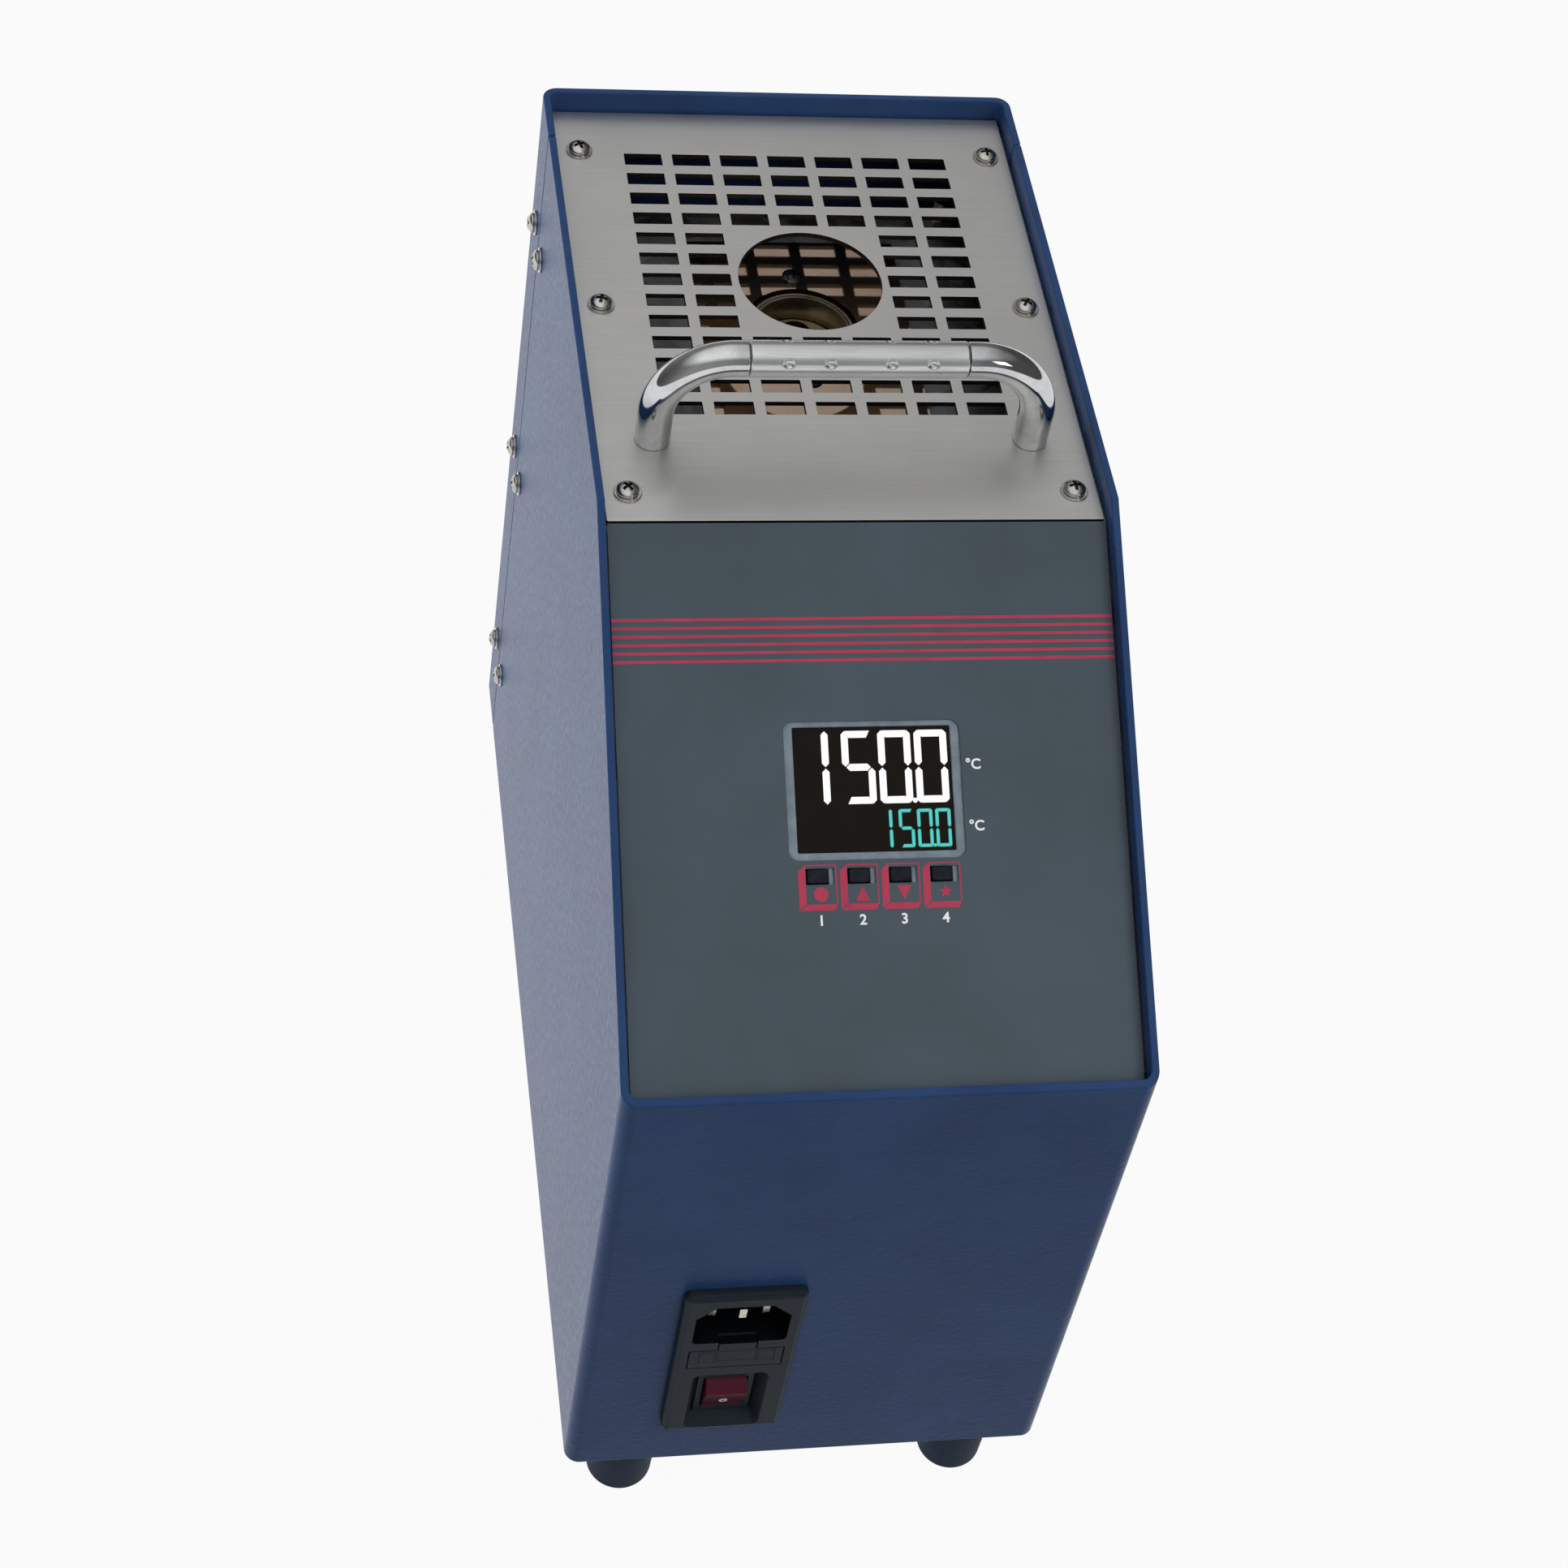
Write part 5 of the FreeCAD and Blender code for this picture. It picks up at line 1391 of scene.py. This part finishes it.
@dataclass
class MainsInlet:
    """Mains inlet module with its pins, fuse drawer and rocker switch.

    Attributes:
        edge: rounding of the flange's outer edges.
        rim: how far from the flange's outline those edges lie.
        mouth_edge: rounding of the housing's openings and of the drawer.
        small_edge: rounding of the pins, switch frame and rocker.
        front_share: share of the front's direction in the normal of a face that a finger presses.
        socket_rise: middle of the socket over the middle of the flange.
        socket_half: half the socket's width and height.
        socket_depth: depth of the socket.
        fields: left, right, bottom and top of each field of the drawer's face, from its lower middle.
        groove_width: width of the groove round a field.
        groove_depth: depth of that groove.
        ring_outer: outer radius of the off mark.
        ring_inner: inner radius of the off mark.
        ring_rise: how far the off mark stands above the middle of the rocker's lower face.
        ring_facets: facets round the off mark.
        mark: thickness of the off mark.
        fuse_cap: length of the fuse's metal caps.
        fuse_wall: wall of the fuse's glass and caps.
        fuse_wire: radius of the wire in the fuse.
        fuse_facets: facets round the fuse.
        wire_facets: facets round its wire.
    """

    edge: float = 0.5
    rim: float = 1.2
    mouth_edge: float = 0.12
    small_edge: float = 0.2
    front_share: float = 0.8
    socket_rise: float = 19.7
    socket_half: tuple[float, float] = (12.3, 10.2)
    socket_depth: float = 17.0
    fields: tuple[tuple[float, float, float, float], ...] = (
        (-9.7, -5.4, 2.4, 7.3), (-5.0, 5.2, 2.8, 7.6), (5.6, 10.2, 2.4, 7.3))
    groove_width: float = 0.3
    groove_depth: float = 0.15
    ring_outer: float = 1.15
    ring_inner: float = 0.6
    ring_rise: float = 1.2
    ring_facets: int = 40
    mark: float = 0.04
    fuse_cap: float = 5.0
    fuse_wall: float = 0.4
    fuse_wire: float = 0.12
    fuse_facets: int = 48
    wire_facets: int = 12

    def build(self) -> None:
        """Softens the mouldings and details the drawer, the fuse and the rocker."""
        self.housing()
        soft_copy("inlet_pins", CASE, PIN, self.small_edge)
        soft_copy("switch_frame", CASE, INLET, self.small_edge)
        self.drawer()
        self.fuse()
        self.rocker()

    def housing(self) -> None:
        """Rounds the flange and, more finely, its openings, and paints shade inside the socket in near black.
        """
        shape = merged_copy("inlet_housing")
        low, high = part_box("inlet_housing")
        rim = self.rim * MM

        def outer(place: Vector) -> bool:
            """Says whether a place lies along the flange's outline."""
            return min(place.x - low.x, high.x - place.x, place.z - low.z, high.z - place.z) < rim

        soften(shape, self.mouth_edge, chosen=lambda place: not outer(place))
        soften(shape, self.edge, segments=3, chosen=outer)
        middle = (low + high) / 2
        heart = Vector((middle.x, low.y + self.socket_depth / 2 * MM, middle.z + self.socket_rise * MM))
        across, up = self.socket_half
        shaded_inside = []
        for face in shape.faces:
            away = heart - face.calc_center_median()
            within = abs(away.x) < across * MM and abs(away.z) < up * MM
            if within and abs(away.y) < self.socket_depth * MM and away.dot(face.normal) > 0:
                shaded_inside.append(face)
        # Faces inside the socket get near-black nylon: painted shade
        add_piece("socket_painted_shade", taken_apart(shape, shaded_inside), NYLON_SHADE, CASE)
        add_piece("finished_inlet_housing", shape, INLET, CASE, ["inlet_housing"])

    def drawer(self) -> None:
        """Cuts a fine groove round each field of the drawer's face, and paints shade on the top of its tab.
        """
        shape = merged_copy("fuse_drawer")
        soften(shape, self.mouth_edge)
        low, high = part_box("fuse_drawer")
        middle = (low.x + high.x) / 2
        for left, right, bottom, top in self.fields:
            corner = Vector((middle + left * MM, low.y, low.z + bottom * MM))
            far_corner = Vector((middle + right * MM, low.y, low.z + top * MM))
            self.groove(shape, self.field(shape, corner, far_corner))
        tops = []
        for face in shape.faces:
            if face.normal.z > FACING and high.z - face.calc_center_median().z < self.small_edge * MM:
                tops.append(face)
        # The tab's top gets near-black nylon: painted shade
        add_piece("drawer_tab_painted_shade", taken_apart(shape, tops), NYLON_SHADE, "fuse_tray")
        add_piece("finished_fuse_drawer", shape, INLET, "fuse_tray", ["fuse_drawer"])

    def field(self, shape: bmesh.types.BMesh, low: Vector, high: Vector) -> bmesh.types.BMFace:
        """Cuts a rectangle out of the flat front of a shape.

        Args:
            shape: the shape.
            low: lower left corner of the rectangle.
            high: upper right corner.

        Returns:
            The rectangle's face.
        """
        for corner in (low, high):
            for axis in (0, 2):
                normal = Vector([float(side == axis) for side in range(3)])
                front = [face for face in shape.faces
                         if all(abs(point.co.y - low.y) < MERGE for point in face.verts)]
                parts = {part for face in front for part in (*face.verts, *face.edges)}
                bmesh.ops.bisect_plane(shape, geom=front + list(parts), plane_co=corner, plane_no=normal)
        inside = []
        for face in shape.faces:
            middle = face.calc_center_median()
            if abs(middle.y - low.y) < MERGE and low.x < middle.x < high.x and low.z < middle.z < high.z:
                inside.append(face)
        if len(inside) > 1:
            inside = bmesh.ops.dissolve_faces(shape, faces=inside)["region"]
        return inside[0]

    def groove(self, shape: bmesh.types.BMesh, face: bmesh.types.BMFace) -> None:
        """Sinks a groove along the inside of a face's outline.

        Args:
            shape: the shape that the face belongs to.
            face: the face.
        """
        slant = self.groove_width / 4
        for width, depth in ((slant, -self.groove_depth), (self.groove_width / 2, 0),
                             (slant, self.groove_depth)):
            bmesh.ops.inset_individual(shape, faces=[face], thickness=width * MM, depth=depth * MM)

    def fuse(self) -> None:
        """Makes the fuse: a glass tube with its wire, and a metal cap on each end."""
        low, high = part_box("fuse_link")
        middle = (low + high) / 2
        radius = (high.z - low.z) / 2 / MM
        half = (high.x - low.x) / 2 / MM
        inner = radius - self.fuse_wall
        bare = half - self.fuse_wall
        tube = spun([(inner, -bare), (inner, bare), (inner - self.fuse_wall, bare),
                     (inner - self.fuse_wall, -bare), (inner, -bare)], self.fuse_facets)
        laid_along_x(tube, middle)
        add_piece("finished_fuse_link", tube, FUSE_GLASS, "fuse_tray", ["fuse_link"])
        wire = spun([(0, -bare), (self.fuse_wire, -bare), (self.fuse_wire, bare), (0, bare)],
                    self.wire_facets)
        laid_along_x(wire, middle)
        add_piece("fuse_wire", wire, PIN, "fuse_tray")
        caps = bmesh.new()
        for side in (-1, 1):
            mouth = side * (half - self.fuse_cap)
            cap = spun([(0, side * half), (radius, side * half), (radius, mouth), (inner, mouth),
                        (inner, side * bare), (0, side * bare)], self.fuse_facets)
            mesh = bpy.data.meshes.new("fuse_cap")
            cap.to_mesh(mesh)
            cap.free()
            caps.from_mesh(mesh)
            bpy.data.meshes.remove(mesh)
        laid_along_x(caps, middle)
        add_piece("fuse_caps", caps, NICKEL, "fuse_tray")

    def rocker(self) -> None:
        """Softens the rocker and prints the off mark on its lower half."""
        shape = merged_copy("power_rocker")
        lower = min((face for face in shape.faces if face.normal.y < -self.front_share),
                    key=lambda face: face.calc_center_median().z)
        out = lower.normal.copy()
        middle = lower.calc_center_median() + out.cross(X_AXIS) * self.ring_rise * MM
        soften(shape, self.small_edge, segments=3)
        add_piece("finished_power_rocker", shape, ROCKER, "switch_rocker", ["power_rocker"])
        ring = spun([(self.ring_inner, 0), (self.ring_outer, 0), (self.ring_outer, self.mark),
                     (self.ring_inner, self.mark), (self.ring_inner, 0)], self.ring_facets)
        turn = out.to_track_quat("Z", "Y").to_matrix().to_4x4()
        bmesh.ops.transform(ring, matrix=Matrix.Translation(middle) @ turn, verts=ring.verts)
        add_piece("switch_off_mark", ring, WHITE_INK, "switch_rocker")


@dataclass
class RubberFeet:
    """Four moulded feet with their screws and nuts.

    Attributes:
        sole_round: rounding of the sole.
        taper: how much narrower the sole is than the top.
        recess: radius of the recess for the screw.
        recess_depth: depth of that recess.
        bore: radius of the hole for the screw.
        lip: rounding of the recess and of the foot's upper rim.
        round_steps: facets of the sole's rounding.
        facets: facets round the foot.
    """

    sole_round: float = 1.8
    taper: float = 0.5
    recess: float = 4.2
    recess_depth: float = 18.0
    bore: float = 2.15
    lip: float = 0.4
    round_steps: int = 6
    facets: int = 72

    def build(self) -> None:
        """Turns each foot and dresses the fasteners."""
        for place in ("front_left", "front_right", "rear_left", "rear_right"):
            self.foot("foot_" + place)
        dress(NICKEL, "foot_screws", "foot_nuts")

    def foot(self, node: str) -> None:
        """Turns one foot from its profile.

        Args:
            node: the foot's CAD node.
        """
        low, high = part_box(node)
        radius = (high.x - low.x) / 2 / MM
        tall = high.z / MM
        sole = radius - self.taper
        profile = [(self.recess, self.lip), (self.recess + self.lip, 0)]
        for step in range(self.round_steps + 1):
            turn = math.pi / 2 * (step / self.round_steps - 1)
            profile.append((sole - self.sole_round * (1 - math.cos(turn)),
                            self.sole_round * (1 + math.sin(turn))))
        profile += [(radius, tall - self.lip), (radius - self.lip, tall), (self.bore, tall),
                    (self.bore, self.recess_depth), (self.recess, self.recess_depth),
                    (self.recess, self.lip)]
        shape = spun(profile, self.facets)
        bmesh.ops.translate(shape, verts=shape.verts, vec=((low.x + high.x) / 2, (low.y + high.y) / 2, 0))
        add_piece("finished_" + node, shape, FOOT_RUBBER, CASE, [node])


@dataclass
class CoolingFan:
    """Fan under the furnace with its guard.

    Attributes:
        edge: rounding of the frame and the blades.
    """

    edge: float = 0.3

    def build(self) -> None:
        """Softens the mouldings and dresses the metal."""
        soft_copy("fan_frame", CASE, FAN, self.edge)
        soft_copy("fan_rotor", "fan_blades", FAN, self.edge)
        dress(GUARD, "fan_guard")
        dress(NICKEL, "fan_screws")


@dataclass
class Furnace:
    """Furnace with its well, insert, shield, heaters and frame."""

    def build(self) -> None:
        """Dresses every piece of the furnace."""
        dress(ZINC, "furnace_base_plate", "furnace_can", "furnace_top_plate")
        dress(FIBRE, "furnace_insulation")
        dress(SHIELD, "heat_shield")
        dress(BLACK_SCREW, "shield_screws")
        dress(WELL, "well_tube")
        dress(INSERT, "metal_insert")
        dress(ROD, "heater_rods")
        dress(SHEATH, "control_thermocouple")
        dress(NICKEL, "tie_rods", "tie_nuts")


@dataclass
class Wiring:
    """Relay, terminals and leads inside the case."""

    def build(self) -> None:
        """Dresses the electrical pieces."""
        dress(RELAY, "solid_state_relay")
        dress(NICKEL, "relay_screws")
        dress(TERMINAL, "terminal_block")
        dress(LEAD, "power_leads", "sensor_lead")


# Studio

@dataclass(frozen=True)
class Lamp:
    """Soft square lamp that looks at the middle of the object.

    Attributes:
        name: its name.
        place: where it hangs, in metres.
        side: its side in metres.
        power: its power in watts.
        mirrored: whether shiny surfaces show it.
    """

    name: str
    place: tuple[float, float, float]
    side: float
    power: float
    mirrored: bool = False

    def hang(self) -> None:
        """Adds the lamp to the scene."""
        light = bpy.data.lights.new(self.name, "AREA")
        light.size = self.side
        light.energy = self.power
        holder = bpy.data.objects.new(self.name, light)
        holder.visible_glossy = self.mirrored
        holder.visible_camera = False
        low, high = CAD_BOX
        way = (low + high) / 2 - Vector(self.place)
        turn = way.to_track_quat("-Z", "Y").to_matrix().to_4x4()
        holder.matrix_world = Matrix.Translation(self.place) @ turn
        bpy.context.scene.collection.objects.link(holder)


@dataclass
class Studio:
    """Pale floor, soft light and the camera.

    Attributes:
        image_side: pixels along each side of the picture.
        focal_pixels: focal length in those pixels.
        middle_pixel: where the camera's axis meets the picture.
        camera_place: the camera's place in millimetres.
        camera_forward: direction that it looks in.
        camera_right: direction of the picture's right.
        sensor: width of the camera's sensor.
        near: distance in metres from which the camera sees.
        floor_side: side of the floor in metres.
        floor_white: share of plain white that a seen or mirrored floor shows.
        floor_grey: colour of the floor for the light that it throws back.
        world_level: strength of the light from all round.
        low_level: strength of what a mirror shows of the room near the horizon.
        low_rise: height of a direction, as a sine, under which the room has that strength.
        high_rise: height over which the room is plain white.
        back_level: share of the room's light that its back wall shows.
        back_start: how far towards the front, as a sine, that wall begins.
        back_end: how far back it is full.
        flag_level: strength that dark flags on both sides leave of it.
        flag_shift: how far to the left, as a sine, the middle between the flags lies.
        flag_start: how far to the side of that middle the flags begin.
        flag_end: how far to the side of it they are full.
        lamps: the lamps round the object.
    """

    image_side: int = 1932
    focal_pixels: float = 4061.76
    middle_pixel: tuple[float, float] = (1021.51, 853.23)
    camera_place: tuple[float, float, float] = (-165.518, -569.126, 824.403)
    camera_forward: tuple[float, float, float] = (0.195421, 0.648485, -0.735716)
    camera_right: tuple[float, float, float] = (0.980616, -0.140080, 0.137000)
    sensor: float = 36.0
    near: float = 0.01
    floor_side: float = 60.0
    floor_white: float = 0.95
    floor_grey: str = "#787878"
    world_level: float = 0.5
    low_level: float = 0.3
    low_rise: float = 0.55
    high_rise: float = 0.8
    back_level: float = 0.8
    back_start: float = -0.2
    back_end: float = 0.5
    flag_level: float = 0.3
    flag_shift: float = 0.2
    flag_start: float = 0.3
    flag_end: float = 0.8
    lamps: tuple[Lamp, ...] = (
        Lamp("key_lamp", place=(0.9, -0.9, 1.6), side=1.0, power=13.0),
        Lamp("glint_lamp", place=(0.9, -1.2, 1.0), side=0.4, power=1.5, mirrored=True),
        Lamp("side_lamp", place=(-1.4, 0.35, 0.25), side=0.5, power=14.0),
        Lamp("fill_lamp", place=(-0.9, -0.9, 1.9), side=1.2, power=3.0),
        Lamp("back_lamp", place=(0.2, 1.6, 1.6), side=1.2, power=8.0))

    def build(self) -> None:
        """Sets the stage, the light and the camera."""
        bpy.context.scene.view_settings.view_transform = "Standard"
        self.floor()
        self.world()
        for lamp in self.lamps:
            lamp.hang()
        self.camera()

    def seen(self, tree: bpy.types.NodeTree) -> bpy.types.NodeSocket:
        """Tells what is seen from the light that falls.

        Args:
            tree: a material's tree.

        Returns:
            A value of 1 for what is seen directly, in a mirror or through glass, and else of 0.
        """
        path = add_node(tree, "ShaderNodeLightPath")
        glossy = add_node(tree, "ShaderNodeMath", {0: path.outputs["Is Camera Ray"],
                                                   1: path.outputs["Is Glossy Ray"]}, operation="MAXIMUM")
        either = add_node(tree, "ShaderNodeMath", {0: glossy.outputs[0],
                                                   1: path.outputs["Is Transmission Ray"]},
                          operation="MAXIMUM")
        return either.outputs[0]

    def floor(self) -> None:
        """Lays a plain white floor that keeps a faint shadow."""
        shape = bmesh.new()
        bmesh.ops.create_grid(shape, x_segments=1, y_segments=1, size=self.floor_side / 2)
        mesh = bpy.data.meshes.new("floor")
        shape.to_mesh(mesh)
        shape.free()
        paper = bpy.data.materials.new("white_floor_paper")
        paper.use_nodes = True
        tree = paper.node_tree
        tree.nodes.remove(tree.nodes["Principled BSDF"])
        matt = add_node(tree, "ShaderNodeBsdfDiffuse", {"Color": linear(self.floor_grey)})
        white = add_node(tree, "ShaderNodeEmission", {"Color": linear(WHITE)})
        share = add_node(tree, "ShaderNodeMath", {0: self.seen(tree), 1: self.floor_white},
                         operation="MULTIPLY")
        mixed = add_node(tree, "ShaderNodeMixShader", {0: share.outputs[0], 1: matt.outputs[0],
                                                       2: white.outputs[0]})
        tree.links.new(mixed.outputs[0], tree.nodes["Material Output"].inputs["Surface"])
        mesh.materials.append(paper)
        floor = bpy.data.objects.new("floor", mesh)
        bpy.context.scene.collection.objects.link(floor)

    def world(self) -> None:
        """Surrounds the object with even light, a room for mirrors, and white where it is seen."""
        world = bpy.data.worlds.new("studio")
        bpy.context.scene.world = world
        world.use_nodes = True
        tree = world.node_tree
        shader = tree.nodes["Background"]
        way = add_node(tree, "ShaderNodeTexCoord").outputs["Generated"]
        parts = add_node(tree, "ShaderNodeSeparateXYZ", {0: way})
        rise = add_node(tree, "ShaderNodeMapRange",
                        {"Value": parts.outputs["Z"], "From Min": self.low_rise, "From Max": self.high_rise,
                         "To Min": self.low_level, "To Max": 1.0})
        beside = add_node(tree, "ShaderNodeMath", {0: parts.outputs["X"], 1: self.flag_shift},
                          operation="ADD")
        aside = add_node(tree, "ShaderNodeMath", {0: beside.outputs[0]}, operation="ABSOLUTE")
        flag = add_node(tree, "ShaderNodeMapRange",
                        {"Value": aside.outputs[0], "From Min": self.flag_start, "From Max": self.flag_end,
                         "To Min": 1.0, "To Max": self.flag_level})
        back = add_node(tree, "ShaderNodeMapRange",
                        {"Value": parts.outputs["Y"], "From Min": self.back_start, "From Max": self.back_end,
                         "To Min": 1.0, "To Max": self.back_level})
        front = add_node(tree, "ShaderNodeMath", {0: rise.outputs[0], 1: back.outputs[0]},
                         operation="MULTIPLY")
        room = add_node(tree, "ShaderNodeMath", {0: front.outputs[0], 1: flag.outputs[0]},
                        operation="MULTIPLY")
        path = add_node(tree, "ShaderNodeLightPath")
        falling = add_node(tree, "ShaderNodeMapRange",
                           {"Value": path.outputs["Is Glossy Ray"], "To Min": self.world_level,
                            "To Max": room.outputs[0]})
        straight = add_node(tree, "ShaderNodeMath", {0: path.outputs["Is Camera Ray"],
                                                     1: path.outputs["Is Transmission Ray"]},
                            operation="MAXIMUM")
        strength = add_node(tree, "ShaderNodeMapRange", {"Value": straight.outputs[0],
                                                         "To Min": falling.outputs[0], "To Max": 1.0})
        shader.inputs["Color"].default_value = linear(WHITE)
        tree.links.new(strength.outputs[0], shader.inputs["Strength"])

    def camera(self) -> None:
        """Places the camera where the photograph was taken from."""
        lens = bpy.data.cameras.new("camera")
        lens.sensor_width = self.sensor
        lens.lens = self.sensor * self.focal_pixels / self.image_side
        middle = self.image_side / 2
        lens.shift_x = (middle - self.middle_pixel[0]) / self.image_side
        lens.shift_y = (self.middle_pixel[1] - middle) / self.image_side
        lens.clip_start = self.near
        holder = bpy.data.objects.new("camera", lens)
        right = Vector(self.camera_right).normalized()
        back = -Vector(self.camera_forward).normalized()
        turn = Matrix((right, back.cross(right), back)).transposed()
        holder.matrix_world = Matrix.Translation(Vector(self.camera_place) * MM) @ turn.to_4x4()
        bpy.context.scene.collection.objects.link(holder)
        bpy.context.scene.camera = holder


def write_sizes() -> None:
    """Brings the placements of every object up to date."""
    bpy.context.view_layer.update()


def main() -> None:
    """Builds every sub-assembly, then the studio."""
    logging.basicConfig(level=logging.INFO, format="%(message)s")
    for assembly in (PaintedCase(), SlottedTop(), CarryHandle(), ControlPanel(), MainsInlet(), RubberFeet(),
                     CoolingFan(), Furnace(), Wiring()):
        LOG.info("building %s", type(assembly).__name__)
        assembly.build()
    Studio().build()
    write_sizes()


if __name__ == "__main__":
    main()
